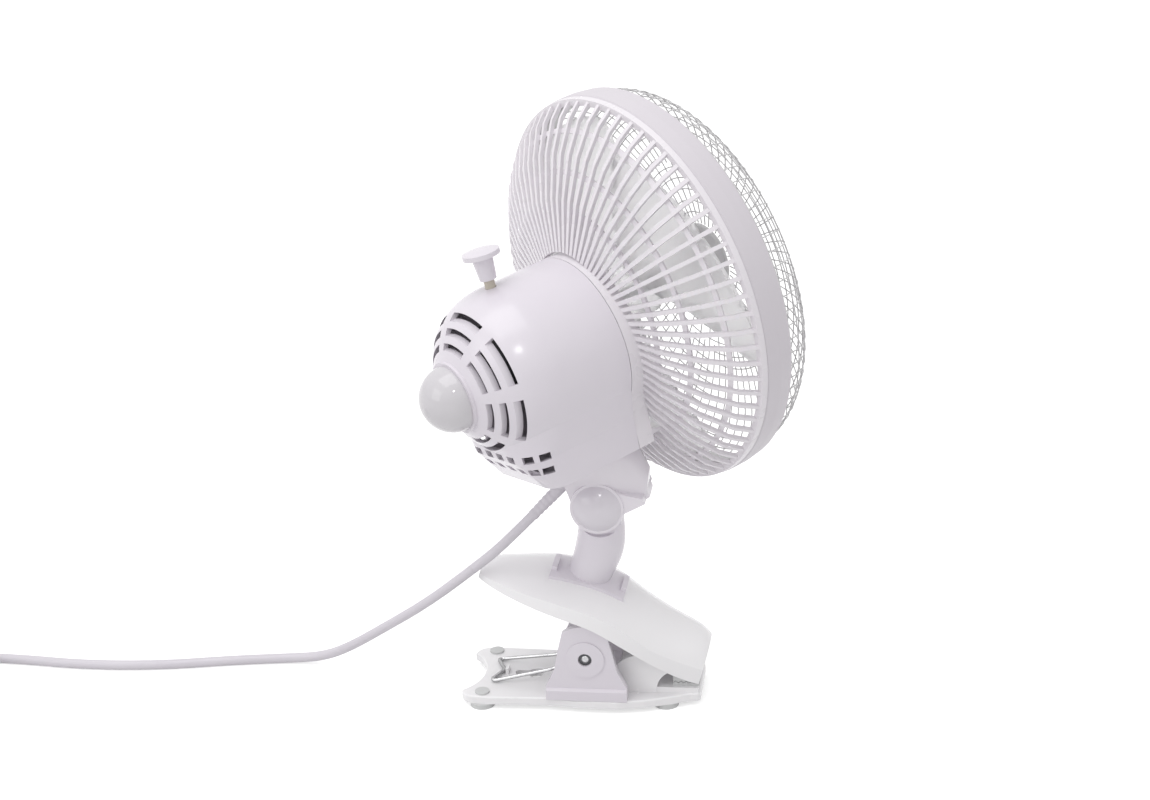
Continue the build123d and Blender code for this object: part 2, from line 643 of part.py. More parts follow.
def tilt_bolt():
    seat = LUG_OUT - TILT_HEAD_T
    bolt = rod(TILT_BOLT_R, -seat, seat + TILT_HEAD_T - 0.2, "Y")
    return bolt + rod(TILT_HEAD_R, -LUG_OUT + 0.1, -seat, "Y")


def tilt_nut():
    seat = LUG_OUT - TILT_HEAD_T
    blank = Plane(origin=(0, seat, 0), z_dir=(0, 1, 0)) * RegularPolygon(TILT_HEAD_R, 6)
    nut = extrude(blank, TILT_HEAD_T - 0.3, dir=(0, 1, 0))
    return nut - rod(TILT_BOLT_R + SEAT, 0, 30, "Y")


def tilt_washers():
    inner = EYE_HALF + 0.05
    return both(ring(WASHER_R, TILT_BOLT_R + RUNNING, inner, inner + WASHER_T, "Y"))


def swivel_spigot():
    return rod(SPIGOT_R, SPIGOT_LOW, SPIGOT_TOP, "Z") - rod(1.6, SPIGOT_TOP - 10, 60, "Z")


def swivel_screw():
    washer = ring(SWIVEL_WASHER_R, 1.5, SPIGOT_TOP, SPIGOT_TOP + SWIVEL_WASHER_T, "Z")
    head = SPIGOT_TOP + SWIVEL_WASHER_T
    return washer + rod(3.4, head - 0.2, head + 2.2, "Z") + rod(1.58, SPIGOT_TOP - 8, head, "Z")


# ---------------------------------------------------------------- housing (head frame)
def housing_profile(inset=0.0):
    """Arch over a narrower foot, seen along the fan's axis (y, z)."""
    r = ARCH_R - inset
    low, half = FLOOR_Z + inset, FLOOR_HALF - inset
    foot = [(half, low), (half + 1.2, CHIN_MID_Z + 2), (CHIN_TOP_HALF - 1.4 - inset, CHIN_TOP_Z - 2)]
    left = [(-y, z) for y, z in reversed(foot)]
    face = make_face(Polyline(*foot, *left, close=True))
    arch = Pos(0, -AXIS_DROP) * Circle(r)
    return face + arch


def plan(z, rear, half, corner, inset, front):
    """Plan section of the housing's foot: straight front and sides, round rear corners."""
    rear, half = rear + inset, half - inset
    corner = corner - inset
    edge = Line((front, -half), (front, half)) + Line((front, half), (rear + corner, half))
    k = corner * (1 - cos(pi / 4))
    edge += ThreePointArc((rear + corner, half), (rear + k, half - k), (rear, half - corner))
    edge += Line((rear, half - corner), (rear, corner - half))
    edge += ThreePointArc((rear, corner - half), (rear + k, k - half), (rear + corner, -half))
    edge += Line((rear + corner, -half), (front, -half))
    return Pos(0, 0, z) * make_face(edge)


def housing_form(inset=0.0, front=SEAM_X):
    a, b = REAR_DEPTH - inset, ARCH_R - inset
    edge = Line((front, 0), (front, b)) + Line((front, b), (REAR_START, b))
    steps = []
    for share in (0.0, 0.5, 0.8, 0.95, 1.0):
        r = b * share
        steps.insert(0, (REAR_START - a * sqrt(1 - share**REAR_SQUARE), r))
    edge += Spline(*steps, tangents=((-1, 0), (0, -1)))
    edge += Line(steps[-1], (front, 0))
    barrel = Pos(0, 0, -AXIS_DROP) * revolve(make_face(edge), Axis.X)
    floor = plan(FLOOR_Z + inset, CHIN_FLOOR_X, FLOOR_HALF, 9.0, inset, front)
    middle = plan(CHIN_MID_Z, CHIN_MID_X, CHIN_MID_HALF, CHIN_CORNER, inset, front)
    top = plan(CHIN_TOP_Z, CHIN_TOP_X, CHIN_TOP_HALF, 30.0, inset, front)
    foot = loft([floor, middle], ruled=True) + loft([middle, top], ruled=True)
    return barrel + foot


def slot_cutters():
    cutters = []
    for index, radius in enumerate(SLOT_RINGS):
        band = Circle(radius + SLOT_W / 2) - Circle(radius - SLOT_W / 2)
        for k in range(SLOT_COUNT):
            angle = SLOT_START + 360 / SLOT_COUNT * k
            low = 90 < (angle % 360) < 270
            if index == 0 and abs((angle % 360) - 180) < 50:
                continue
            half = radians(SLOT_ARC / 2)
            reach = radius * 1.6
            wedge = Polyline(
                (0, 0),
                (reach * sin(-half), reach * cos(half)),
                (0, reach * 1.1),
                (reach * sin(half), reach * cos(half)),
                close=True,
            )
            piece = Rot(0, 0, angle) * (band & make_face(wedge))
            cutters.append(piece)
    side = Plane(origin=(-64, 0, -AXIS_DROP), x_dir=(0, 1, 0), z_dir=(1, 0, 0))
    return [extrude(side * c, 34) for c in cutters]


def vent_cutters():
    """Square holes in two rows across the back of the foot and round its corners."""
    x, y = CHIN_MID_X + CHIN_CORNER, CHIN_MID_HALF - CHIN_CORNER
    hole = Box(12, VENT_W, VENT_H)
    cutters = []
    for row in range(VENT_ROWS):
        z = VENT_Z - row * VENT_DROP
        for across in VENT_Y:
            cutters.append(both(Pos(CHIN_MID_X, across, z) * hole))
        for turn in VENT_TURNS:
            cutters.append(both(Pos(x, y, z) * Rot(0, 0, -turn) * Pos(-CHIN_CORNER, 0, 0) * hole))
    return cutters


def motor_housing():
    shell = housing_form() - housing_form(HOUSING_WALL, SEAM_X + 1)
    boss = rod(5.0, DOME_SEAT_X + 1, GEARBOX_REAR - GAP, "X")
    boss += rod(DOME_SEAT_R, DOME_SEAT_X, DOME_SEAT_X + 3.6, "X")
    shell += Pos(0, 0, -AXIS_DROP) * boss
    shell += rod(11.0, FLOOR_Z + 1.0, FLOOR_Z + 12.0, "Z")
    shell -= Pos(0, 0, -AXIS_DROP) * rod(DOME_SEAT_R + 3, -80, DOME_SEAT_X, "X")
    shell -= Pos(0, 0, -AXIS_DROP) * rod(1.7, -80, 0, "X")
    shell -= Pos(0, 0, -AXIS_DROP) * rod(3.4, -80, DOME_SEAT_X + 1.8, "X")
    for cutter in slot_cutters() + vent_cutters():
        shell -= cutter
    shell -= rod(SPIGOT_R + BUSH_T + SEAT, -80, FLOOR_Z + 20, "Z")
    shell -= Pos(KNOB_X, 0, 0) * rod(KNOB_STEM_R + 0.15, 0, 60, "Z")
    return shell


def rear_dome():
    ball = Pos(DOME_SEAT_X, 0, -AXIS_DROP) * Sphere(DOME_R)
    return ball & Pos(0, 0, -AXIS_DROP) * rod(DOME_R + 1, -90, DOME_SEAT_X, "X")


def housing_screw():
    head = rod(3.2, DOME_SEAT_X + 0.1, DOME_SEAT_X + 1.8, "X")
    return Pos(0, 0, -AXIS_DROP) * (head + rod(1.5, DOME_SEAT_X + 1.8, GEARBOX_REAR + 6, "X"))


# ---------------------------------------------------------------- cage (head frame)
def rear_curve(t, inset=0.0):
    """Rear half of the cage: (x, radius) at parameter t, from the axis (0) to the rim (pi/2)."""
    x = REAR_RIM_X - (REAR_DEEP - inset) * cos(t) ** (2 / 1.5)
    return x, (CAGE_R - inset) * sin(t)


def front_curve(t, inset=0.0):
    """Front half of the cage in the same terms."""
    x = REAR_RIM_X + BAND_W + (FRONT_DEEP - inset) * cos(t) ** (2 / 2.5)
    return x, (FRONT_R - inset) * sin(t) ** (2 / 3)


def collar_reach(angle):
    """Distance from the fan's axis to the collar's outline, at an angle from the top."""
    a = radians(angle)
    dy, dz = sin(a), cos(a)
    drop = -AXIS_DROP
    b = dz * drop
    reach = b + sqrt(b * b - drop * drop + ARCH_R**2)
    if dz < 0:
        side = (FLOOR_HALF + 0.6) / max(abs(dy), 1e-6)
        foot = min(FLOOR_Z / dz, side)
        reach = max(reach, foot)
    return reach


def marks(t0, t1, steps):
    """Parameters of a guard's knots: its ribs run straight from one knot to the next."""
    return [t0 + (t1 - t0) * i / steps for i in range(steps + 1)]


def straight(curve, t, knots, depth):
    """The two ends of the straight run at a parameter, and the place along it."""
    k = max(i for i in range(len(knots) - 1) if knots[i] < t + 1e-6)
    share = (t - knots[k]) / (knots[k + 1] - knots[k])
    return curve(knots[k], depth), curve(knots[k + 1], depth), share


def rib_profile(curve, t0, knots, depth):
    """Outer and inner edge of a rib, from its own start on the first run to the last knot."""
    edges = []
    for inset in (0.0, depth):
        (xa, ra), (xb, rb), share = straight(curve, t0, knots, inset)
        start = (xa + (xb - xa) * share, ra + (rb - ra) * share)
        edges.append([start] + [curve(t, inset) for t in knots if t > t0 + 0.02])
    return edges


def seated_ring(curve, at, knots, depth, sign):
    """A ring whose outer side lies along the inner edge of the ribs."""
    (xa, ra), (xb, rb), share = straight(curve, at, knots, depth)
    length = hypot(xb - xa, rb - ra)
    ux, ur = (xb - xa) / length, (rb - ra) / length
    mx, mr = xa + (xb - xa) * share, ra + (rb - ra) * share
    nx, nr = sign * ur, -sign * ux
    half = RING_W / 2
    points = [
        (mx - ux * half + nx * 0.01, mr - ur * half + nr * 0.01),
        (mx + ux * half + nx * 0.01, mr + ur * half + nr * 0.01),
        (mx + ux * half + nx * RING_T, mr + ur * half + nr * RING_T),
        (mx - ux * half + nx * RING_T, mr - ur * half + nr * RING_T),
    ]
    return turned(points)


REAR_T1 = 1.46
REAR_T0 = 0.34


def rear_guard():
    front = COLLAR_X
    side = Plane(origin=(SEAM_X + GAP, 0, 0), x_dir=(0, 1, 0), z_dir=(1, 0, 0))
    far = Plane(origin=(front, 0, 0), x_dir=(0, 1, 0), z_dir=(1, 0, 0))
    collar = extrude(side * housing_profile(), front - SEAM_X - GAP)
    collar -= rod(MOTOR_BAY_R, 0, front - COLLAR_WALL, "X")
    collar -= rod(HUB_BOSS_R + 1, 0, front + 1, "X")
    floor_low = FLOOR_Z + HOUSING_WALL
    collar -= block(0, front - COLLAR_WALL, -20, 20, floor_low, -20)
    for k in range(MOTOR_SCREWS):
        hole = Rot(45 + 360 / MOTOR_SCREWS * k, 0, 0) * Pos(0, 0, MOTOR_SCREW_AT)
        collar -= hole * rod(SCREW_R + SEAT, 0, front + 1, "X")
    rim = turned(
        [
            (REAR_RIM_X - 3.0, RIM_IN),
            (REAR_RIM_X - 3.0, CAGE_R - 0.6),
            (REAR_RIM_X - 0.2, CAGE_R - 0.3),
            (REAR_RIM_X - 0.2, RIM_R),
            (REAR_RIM_X - 3.0 + RIM_W, RIM_R),
            (REAR_RIM_X - 3.0 + RIM_W, RIM_IN),
        ]
    )
    body = collar + rim
    knots = marks(REAR_T0, REAR_T1, RIB_STEPS)
    ribs = []
    for k in range(RIBS):
        angle = 360 / RIBS * k
        reach = collar_reach(angle) - EMBED - 1.0
        t0 = max(asin(min(reach / CAGE_R, 1)), REAR_T0)
        outer, inner = rib_profile(rear_curve, t0, knots, RIB_D)
        foot = front - COLLAR_WALL
        if outer[0][0] > foot:
            outer.insert(0, (foot, outer[0][1]))
            inner.insert(0, (foot, inner[0][1] - RIB_D))
        face = make_face(Polyline(*outer, *reversed(inner), close=True))
        blade = Pos(0, 0, -RIB_W / 2) * extrude(face, RIB_W)
        ribs.append(Rot(-angle, 0, 0) * Rot(90, 0, 0) * blade)
    body = body.fuse(*ribs)
    rings = [seated_ring(rear_curve, at, knots, RIB_D, 1.0) for at in RING_AT]
    return body, rings


def guard_band():
    x0, x1 = REAR_RIM_X, REAR_RIM_X + BAND_W
    stop = REAR_RIM_X - 3.0 + RIM_W + GAP
    profile = [
        (x0, RIM_R + 0.2),
        (x0, CAGE_R - 0.6),
        (x0 + 0.8, CAGE_R),
        (x0 + BAND_W * 0.5, CAGE_R + 0.1),
        (x1 - 0.8, BAND_FRONT_R + 0.1),
        (x1, BAND_FRONT_R - 0.6),
        (x1, FRONT_R - 0.1),
        (stop + 2.0, FRONT_R - 0.1),
        (stop + 2.0, RIM_IN + 0.2),
        (stop, RIM_IN + 0.2),
        (stop, RIM_R + 0.2),
    ]
    return turned(profile)


FRONT_T1 = 1.50


def front_guard():
    seat = REAR_RIM_X - 3.0 + RIM_W + GAP + 2.0 + GAP
    nose = REAR_RIM_X + BAND_W + 1.6
    rim = turned(
        [
            (seat, RIM_IN - 0.6),
            (seat, FRONT_R - 0.4),
            (nose, FRONT_R - 0.4),
            (nose, RIM_IN - 0.6),
        ]
    )
    t0 = asin(((FRONT_DISC_R - 2.0) / FRONT_R) ** 1.5)
    x_disc = front_curve(t0)[0]
    disc = rod(FRONT_DISC_R, x_disc - FRONT_DISC_T, x_disc + 0.3, "X")
    knots = marks(t0, FRONT_T1, FRONT_STEPS)
    ribs = []
    for k in range(FRONT_RIBS):
        angle = 360 / FRONT_RIBS * k
        outer, inner = rib_profile(front_curve, t0, knots, FRONT_RIB_D)
        outer.append((nose - 0.8, FRONT_R - 0.5))
        inner.append((nose - 0.8, FRONT_R - FRONT_RIB_D))
        face = make_face(Polyline(*outer, *reversed(inner), close=True))
        blade = Pos(0, 0, -FRONT_RIB_W / 2) * extrude(face, FRONT_RIB_W)
        ribs.append(Rot(-angle, 0, 0) * Rot(90, 0, 0) * blade)
    body = rim.fuse(disc, *ribs)
    rings = [seated_ring(front_curve, at, knots, FRONT_RIB_D, -1.0) for at in FRONT_RING_AT]
    return body, rings


# ---------------------------------------------------------------- motor (head frame)
def front_bracket():
    back = COLLAR_X - COLLAR_WALL
    face = back - BRACKET_T
    body = turned(
        [
            (back, BEARING_R + SEAT),
            (back, BRACKET_R),
            (STATOR_FRONT, BRACKET_R),
            (STATOR_FRONT, COIL_OUT + 0.6),
            (face, COIL_OUT + 0.6),
            (face, HUB_BOSS_R),
            (face - 4, HUB_BOSS_R),
            (face - 4, BEARING_R + SEAT),
        ]
    )
    for k in range(MOTOR_SCREWS):
        hole = Rot(45 + 360 / MOTOR_SCREWS * k, 0, 0) * Pos(0, 0, MOTOR_SCREW_AT)
        body -= hole * rod(SCREW_R + SEAT, face - 1, back + 1, "X")
    return body


REAR_FACE = STATOR_REAR - 4.6


def rear_bracket():
    return turned(
        [
            (REAR_FACE - BRACKET_T, BEARING_R + SEAT),
            (REAR_FACE - BRACKET_T, BRACKET_R),
            (STATOR_REAR, BRACKET_R),
            (STATOR_REAR, COIL_OUT + 0.6),
            (REAR_FACE, COIL_OUT + 0.6),
            (REAR_FACE, BEARING_R + SEAT),
        ]
    )


def motor_screws():
    front = COLLAR_X
    screws = []
    for k in range(MOTOR_SCREWS):
        place = Rot(45 + 360 / MOTOR_SCREWS * k, 0, 0) * Pos(0, 0, MOTOR_SCREW_AT)
        screw = rod(SCREW_R, front - COLLAR_WALL - BRACKET_T, front, "X")
        screws.append(place * (screw + rod(SCREW_HEAD_R, front, front + SCREW_HEAD_H, "X")))
    return screws


def bearings():
    back = COLLAR_X - COLLAR_WALL
    front = ring(BEARING_R, SHAFT_R + RUNNING, back - BRACKET_T - 4, back, "X")
    rear = ring(BEARING_R, SHAFT_R + RUNNING, REAR_FACE - BRACKET_T, REAR_FACE, "X")
    return front, rear


def motor_coils():
    face = COLLAR_X - COLLAR_WALL - BRACKET_T
    front = ring(COIL_OUT, COIL_IN, STATOR_FRONT, face - GAP, "X")
    rear = ring(COIL_OUT, COIL_IN, REAR_FACE + GAP, STATOR_REAR, "X")
    return front, rear


def gearbox():
    front = REAR_FACE - BRACKET_T
    body = block(GEARBOX_REAR, front, -GEARBOX_HALF, GEARBOX_HALF, GEARBOX_LOW, GEARBOX_TOP)
    body = fillet(body.edges().filter_by(Axis.X), 3.0)
    body += Pos(KNOB_X, 0, 0) * rod(5.0, GEARBOX_TOP - 1, GEARBOX_TOP + 4, "Z")
    body -= rod(SHAFT_R + 0.1, SHAFT_REAR - 1, front + 1, "X")
    body -= Pos(KNOB_X, 0, 0) * rod(
        KNOB_STEM_R + RUNNING, 0, 40, "Z"
    )
    body -= Pos(0, 0, -AXIS_DROP) * rod(1.52, GEARBOX_REAR - 1, GEARBOX_REAR + 7, "X")
    return body


def motor_shaft():
    return chamfer(rod(SHAFT_R, SHAFT_REAR + 3.4, SHAFT_FRONT, "X").edges(), 0.3)


def rotor():
    return ring(ROTOR_R, SHAFT_R + SEAT, STATOR_REAR + 0.5, STATOR_FRONT - 0.5, "X")


def fan_blade():
    hub = turned(
        [
            (BLADE_HUB_REAR, SHAFT_R + SEAT),
            (BLADE_HUB_REAR, BLADE_HUB_R),
            (BLADE_HUB_FRONT - 5, BLADE_HUB_R - 1),
            (BLADE_HUB_FRONT, BLADE_HUB_R - 6),
            (BLADE_HUB_FRONT, SHAFT_R + SEAT),
        ]
    )
    middle = (BLADE_HUB_REAR + BLADE_HUB_FRONT) / 2

    def section(radius, chord, pitch, camber):
        half = chord / 2
        t = BLADE_T / 2
        edge = ThreePointArc((-half, -t), (0, camber - t), (half, -t))
        edge += Line((half, -t), (half, t))
        edge += ThreePointArc((half, t), (0, camber + t), (-half, t))
        edge += Line((-half, t), (-half, -t))
        place = Pos(middle, 0, radius) * Rot(0, 0, 90 - pitch)
        return place * make_face(edge)

    wing = loft([section(*station) for station in BLADE_STATIONS])
    outline = turned(
        [
            (middle - 13, 0.1),
            (middle - 13, BLADE_TIP - 6),
            (middle - 7, BLADE_TIP),
            (middle + 7, BLADE_TIP),
            (middle + 13, BLADE_TIP - 6),
            (middle + 13, 0.1),
        ]
    )
    wing = wing & outline
    wing -= rod(SHAFT_R + SEAT, 0, 80, "X")
    body = hub
    for k in range(BLADES):
        body += Rot(360 / BLADES * k, 0, 0) * wing
    return body


def blade_nut():
    plane = Plane(origin=(BLADE_HUB_FRONT, 0, 0), z_dir=(1, 0, 0))
    nut = extrude(plane * RegularPolygon(NUT_R, 6), NUT_T)
    return nut - rod(SHAFT_R + SEAT, 0, 80, "X")


def swivel_bush():
    return ring(SPIGOT_R + BUSH_T, SPIGOT_R + RUNNING, FLOOR_Z, BUSH_TOP, "Z")


def knob_stem():
    return Pos(KNOB_X, 0, 0) * rod(KNOB_STEM_R, KNOB_STEM_LOW, KNOB_SLEEVE_TOP - 3, "Z")


def oscillation_knob():
    low = (Align.CENTER, Align.CENTER, Align.MIN)
    height = KNOB_SLEEVE_TOP - KNOB_SLEEVE_Z
    sleeve = Pos(0, 0, KNOB_SLEEVE_Z) * Cone(
        KNOB_SLEEVE_R, KNOB_SLEEVE_TOP_R, height, align=low
    )
    cap_top = KNOB_SLEEVE_TOP + KNOB_CAP_T + KNOB_DOME
    ball = (KNOB_CAP_R**2 + KNOB_DOME**2) / (2 * KNOB_DOME)
    cap = rod(KNOB_CAP_R, KNOB_SLEEVE_TOP, cap_top, "Z") & Pos(0, 0, cap_top - ball) * Sphere(ball)
    knob = Pos(KNOB_X, 0, 0) * (sleeve + cap)
    return knob - Pos(KNOB_X, 0, 0) * rod(KNOB_STEM_R + SEAT, 0, KNOB_SLEEVE_TOP - 3, "Z")


# ---------------------------------------------------------------- cord
def relief_axis():
    a, b = Vector(*RELIEF_START), Vector(*RELIEF_END)
    way = (b - a).normalized()
    return a - way * RELIEF_SINK, way, (b - a).length + RELIEF_SINK


def strain_relief():
    start, way, length = relief_axis()
    low = (Align.CENTER, Align.CENTER, Align.MIN)
    shape = Cylinder(RELIEF_R, RELIEF_SINK, align=low)
    shape += Pos(0, 0, RELIEF_SINK) * Cone(RELIEF_R, RELIEF_END_R, length - RELIEF_SINK, align=low)
    return Plane(origin=start, z_dir=way) * shape


def relief_socket():
    start, way, length = relief_axis()
    low = (Align.CENTER, Align.CENTER, Align.MIN)
    return Plane(origin=start, z_dir=way) * Cylinder(RELIEF_R + SEAT, length, align=low)


def cord_points():
    start, way, length = relief_axis()
    entry = (COIL_X + 2 * CORD_R, CORD_ROUTE[-1][1], CORD_R)
    end = start + way * length
    return [tuple(end), tuple(end + way * FIRST_RUN)] + CORD_ROUTE + [entry]


def power_cord():
    points = [Vector(*p) for p in cord_points()]
    radii = []
    for a, b, c in zip(points, points[1:], points[2:]):
        u, v = b - a, c - b
        turn = radians(u.get_angle(v))
        radii.append(0.45 * min(u.length, v.length) / max(sin(turn / 2) / cos(turn / 2), 1e-3))
    print("cord radii in diameters", [round(r / (2 * CORD_R), 1) for r in radii])
    path = FilletPolyline(*points, radius=radii)
    section = Plane(origin=path @ 0, z_dir=path % 0) * RegularPolygon(CORD_R, CORD_SIDES)
    print("cord length", round(path.length, 1))
    return sweep(section, path=path)


def cord_coil():
    """Two layers of loops: inwards on the floor, up one layer, and outwards again."""
    centre_y = CORD_ROUTE[-1][1] - COIL_R
    turns = 2 * COIL_TURNS
    middle = 90 + 180 * turns
    count = 4 * turns
    rise = COIL_STEP
    nodes = []
    for i in range(count + 1):
        angle = 90 + 360 * turns * i / count
        off = abs(angle - middle) / 360
        radius = COIL_R - COIL_STEP * (turns / 2 - off)
        climb = min(max((angle - middle + 90) / 180, 0.0), 1.0)
        z = CORD_R + rise * climb
        a = radians(angle)
        inward = 0.0 if i in (0, count, count // 2) else COIL_STEP / (2 * pi)
        inward *= -1 if angle < middle else 1
        slope = 1.5 * rise / pi if i == count // 2 else 0.0
        way = (
            -radius * sin(a) + inward * cos(a),
            radius * cos(a) + inward * sin(a),
            slope,
        )
        nodes.append(((COIL_X + radius * cos(a), centre_y + radius * sin(a), z), way))
    first = (COIL_X + 2 * CORD_R, centre_y + COIL_R, CORD_R)
    last = (COIL_X - PLUG_TAIL, centre_y + COIL_R, CORD_R + rise)
    nodes = [(first, (-1, 0, 0))] + nodes + [(last, (-1, 0, 0))]
    body, path = wound(nodes, CORD_R, COIL_SIDES)
    print("coil least gap to itself", round(least_gap(path, CORD_R, 40.0), 2))
    print("coil length", round(path.length, 1))
    return body


def plug_body():
    x = COIL_X - PLUG_TAIL
    y, z = CORD_ROUTE[-1][1], CORD_R + COIL_STEP
    neck_l = 12.0
    shape = rod(3.6, -neck_l, 0, "X")
    main = block(-PLUG_L, -neck_l + 0.01, -PLUG_HALF, PLUG_HALF, -z + 0.02, z - 0.6)
    main = fillet(main.edges().filter_by(Axis.X), 3.0)
    return Pos(x, y, z) * (shape + main)


def plug_pins():
    x = COIL_X - PLUG_TAIL - PLUG_L
    y, z = CORD_ROUTE[-1][1], CORD_R + COIL_STEP
    half = PLUG_PIN_Y - 0.3
    pins = [rod(PLUG_PIN_R, -PLUG_PIN_L, 0, "X")]
    pair = []
    for side in (-1, 1):
        pair.append(Pos(x, y + side * (half - PLUG_PIN_R), z) * pins[0])
    return pair


# ---------------------------------------------------------------- build
save("base_plate", base_plate())
save("rubber_feet", rubber_feet())
save("base_screws", base_screws())
save("lower_pad", lower_pad())
save("pivot_bracket", pivot_bracket())
save("pivot_pin", pivot_pin())
save("pivot_spacer", pivot_spacer())
save("clamp_spring", clamp_spring())
save("spring_legs", spring_legs())
save("upper_jaw", upper_jaw())
save("upper_pad", upper_pad())
save("post", post())
save("neck", NECK * neck() - relief_socket())
save("hinge_caps", NECK * hinge_caps())
save("tilt_bolt", NECK * tilt_bolt())
save("tilt_nut", NECK * tilt_nut())
save("tilt_washers", NECK * tilt_washers())
save("swivel_spigot", NECK * swivel_spigot())
save("swivel_screw", NECK * swivel_screw())
save("strain_relief", strain_relief())
save("motor_housing", HEAD * motor_housing())
save("rear_dome", HEAD * rear_dome())
save("housing_screw", HEAD * housing_screw())
guard, guard_rings = rear_guard()
save("rear_guard", HEAD * Compound(children=[*guard.solids()]))
save("rear_guard_rings", HEAD * Compound(children=[r.solids()[0] for r in guard_rings]))
save("guard_band", HEAD * guard_band())
guard, guard_rings = front_guard()
save("front_guard", HEAD * Compound(children=[*guard.solids()]))
save("front_guard_rings", HEAD * Compound(children=[r.solids()[0] for r in guard_rings]))
save("front_bracket", HEAD * front_bracket())
save("rear_bracket", HEAD * rear_bracket())
save("motor_stator", HEAD * ring(STATOR_R, STATOR_BORE, STATOR_REAR, STATOR_FRONT, "X"))
save("motor_coils", HEAD * Compound(children=[c.solids()[0] for c in motor_coils()]))
save("motor_screws", HEAD * Compound(children=[c.solids()[0] for c in motor_screws()]))
save("bearings", HEAD * Compound(children=[c.solids()[0] for c in bearings()]))
save("gearbox", HEAD * gearbox())
save("swivel_bush", HEAD * swivel_bush())
save("motor_shaft", HEAD * motor_shaft())
save("rotor", HEAD * rotor())
save("fan_blade", HEAD * fan_blade())
save("blade_nut", HEAD * blade_nut())
save("knob_stem", HEAD * knob_stem())
save("oscillation_knob", HEAD * oscillation_knob())
save("power_cord", power_cord())
save("cord_coil", cord_coil())
save("plug_body", plug_body())
save("plug_pins", Compound(children=[p.solids()[0] for p in plug_pins()]))
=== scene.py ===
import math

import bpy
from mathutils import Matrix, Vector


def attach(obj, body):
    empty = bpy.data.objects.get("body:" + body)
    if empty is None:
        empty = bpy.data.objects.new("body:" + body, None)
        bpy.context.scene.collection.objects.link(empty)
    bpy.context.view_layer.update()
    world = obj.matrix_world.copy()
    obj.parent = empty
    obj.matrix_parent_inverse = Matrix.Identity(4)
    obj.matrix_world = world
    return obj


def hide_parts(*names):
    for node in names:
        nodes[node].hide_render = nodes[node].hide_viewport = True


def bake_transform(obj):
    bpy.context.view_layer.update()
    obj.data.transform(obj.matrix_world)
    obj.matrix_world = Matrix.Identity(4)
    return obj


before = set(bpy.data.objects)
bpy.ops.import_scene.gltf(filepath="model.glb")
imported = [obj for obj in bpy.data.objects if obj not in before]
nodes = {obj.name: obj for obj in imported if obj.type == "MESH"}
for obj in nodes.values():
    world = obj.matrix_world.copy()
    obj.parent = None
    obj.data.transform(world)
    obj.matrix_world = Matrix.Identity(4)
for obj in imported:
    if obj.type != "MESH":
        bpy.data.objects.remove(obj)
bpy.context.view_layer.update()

# %% [markdown]
# # A clip fan, dressed for its portrait
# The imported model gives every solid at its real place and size, in metres. This lesson gives
# those solids their finishes, and adds the fine things that a solid model leaves out: the smooth
# cord and its sleeve, the fine front mesh, the round wire of the clamp's spring and the ends of
# the pivot. It also mirrors the blades. The camera of a product picture comes first, and its
# table and lamps come last.

# %% [markdown]
# ## The camera
# The photograph looks down at the fan from behind its right shoulder. A camera could be placed by
# eye, but then every size read from the picture would be a little off. This one stands where a
# fit to some forty points of the object puts it, with the long lens of a product picture. Its
# focal length and its small shifts are kept in the picture's own pixels.

# %% Camera
PICTURE_WIDTH_PX, SENSOR_WIDTH_MM = 1150, 36.0
FOCAL_PX, SHIFT_X_PX, SHIFT_Y_PX = 2101.43, -2.85, -1.16
CAMERA_AT = Vector((0.1433, -0.8930, 0.5081))
RIGHT = Vector((0.9888, 0.1423, -0.0447)).normalized()
AHEAD = Vector((-0.1487, 0.9183, -0.3670)).normalized()
ABOVE = RIGHT.cross(AHEAD).normalized()
lens = bpy.data.cameras.new("camera")
lens.sensor_width = SENSOR_WIDTH_MM
lens.lens = FOCAL_PX / PICTURE_WIDTH_PX * SENSOR_WIDTH_MM
lens.shift_x = SHIFT_X_PX / PICTURE_WIDTH_PX
lens.shift_y = SHIFT_Y_PX / PICTURE_WIDTH_PX
lens.clip_start, lens.clip_end = 0.05, 20.0
camera = bpy.data.objects.new("camera", lens)
bpy.context.scene.collection.objects.link(camera)
turn = Matrix((RIGHT, ABOVE, -AHEAD)).transposed().to_4x4()
camera.matrix_world = Matrix.Translation(CAMERA_AT) @ turn
bpy.context.scene.camera = camera
looking_down = math.degrees(math.asin(-AHEAD.z))
print("lens", round(lens.lens, 2), "mm, looking down", round(looking_down, 1), "degrees")

# %% [markdown]
# ## The cord
# The fan's lead is a round, fairly soft cord of 4.8 mm. It leaves the neck through a tapered
# sleeve, falls in a lazy curve to the table and runs off to the left. About a quarter of its
# length is seen; the rest lies wound beside the view, in two layers of turns, and ends in its
# plug. Straight pieces of tube would kink where they meet. A smooth spline through few points
# bends as a cord does, so the whole line is one such curve. The points of the fall are listed;
# the wound turns are worked out by a loop.

# %% The cord's values
CORD_WIDTH = 0.0048
RELIEF_FROM = Vector((-0.0081, -0.0019, 0.1106))
RELIEF_TO = Vector((-0.0178, -0.0044, 0.1009))
relief_way = (RELIEF_TO - RELIEF_FROM).normalized()
STRAIGHT_RUN = 0.028
FALL = [
    (-0.0530, -0.0120, 0.0688),
    (-0.0777, -0.0090, 0.0483),
    (-0.1030, -0.0015, 0.0296),
    (-0.1240, 0.0070, 0.0136),
    (-0.1400, 0.0136, 0.0044),
    (-0.1580, 0.0145, 0.0024),
    (-0.1860, 0.0105, 0.0024),
    (-0.2220, 0.0030, 0.0024),
    (-0.2620, 0.0010, 0.0024),
    (-0.2980, 0.0050, 0.0024),
]
COIL_X, COIL_RADIUS, LAYER_TURNS, COIL_STEP = -0.3425, 0.0365, 3, 0.0053
COIL_START_ANGLE, POINTS_PER_TURN = 90, 12
PLUG_TAIL = 0.026
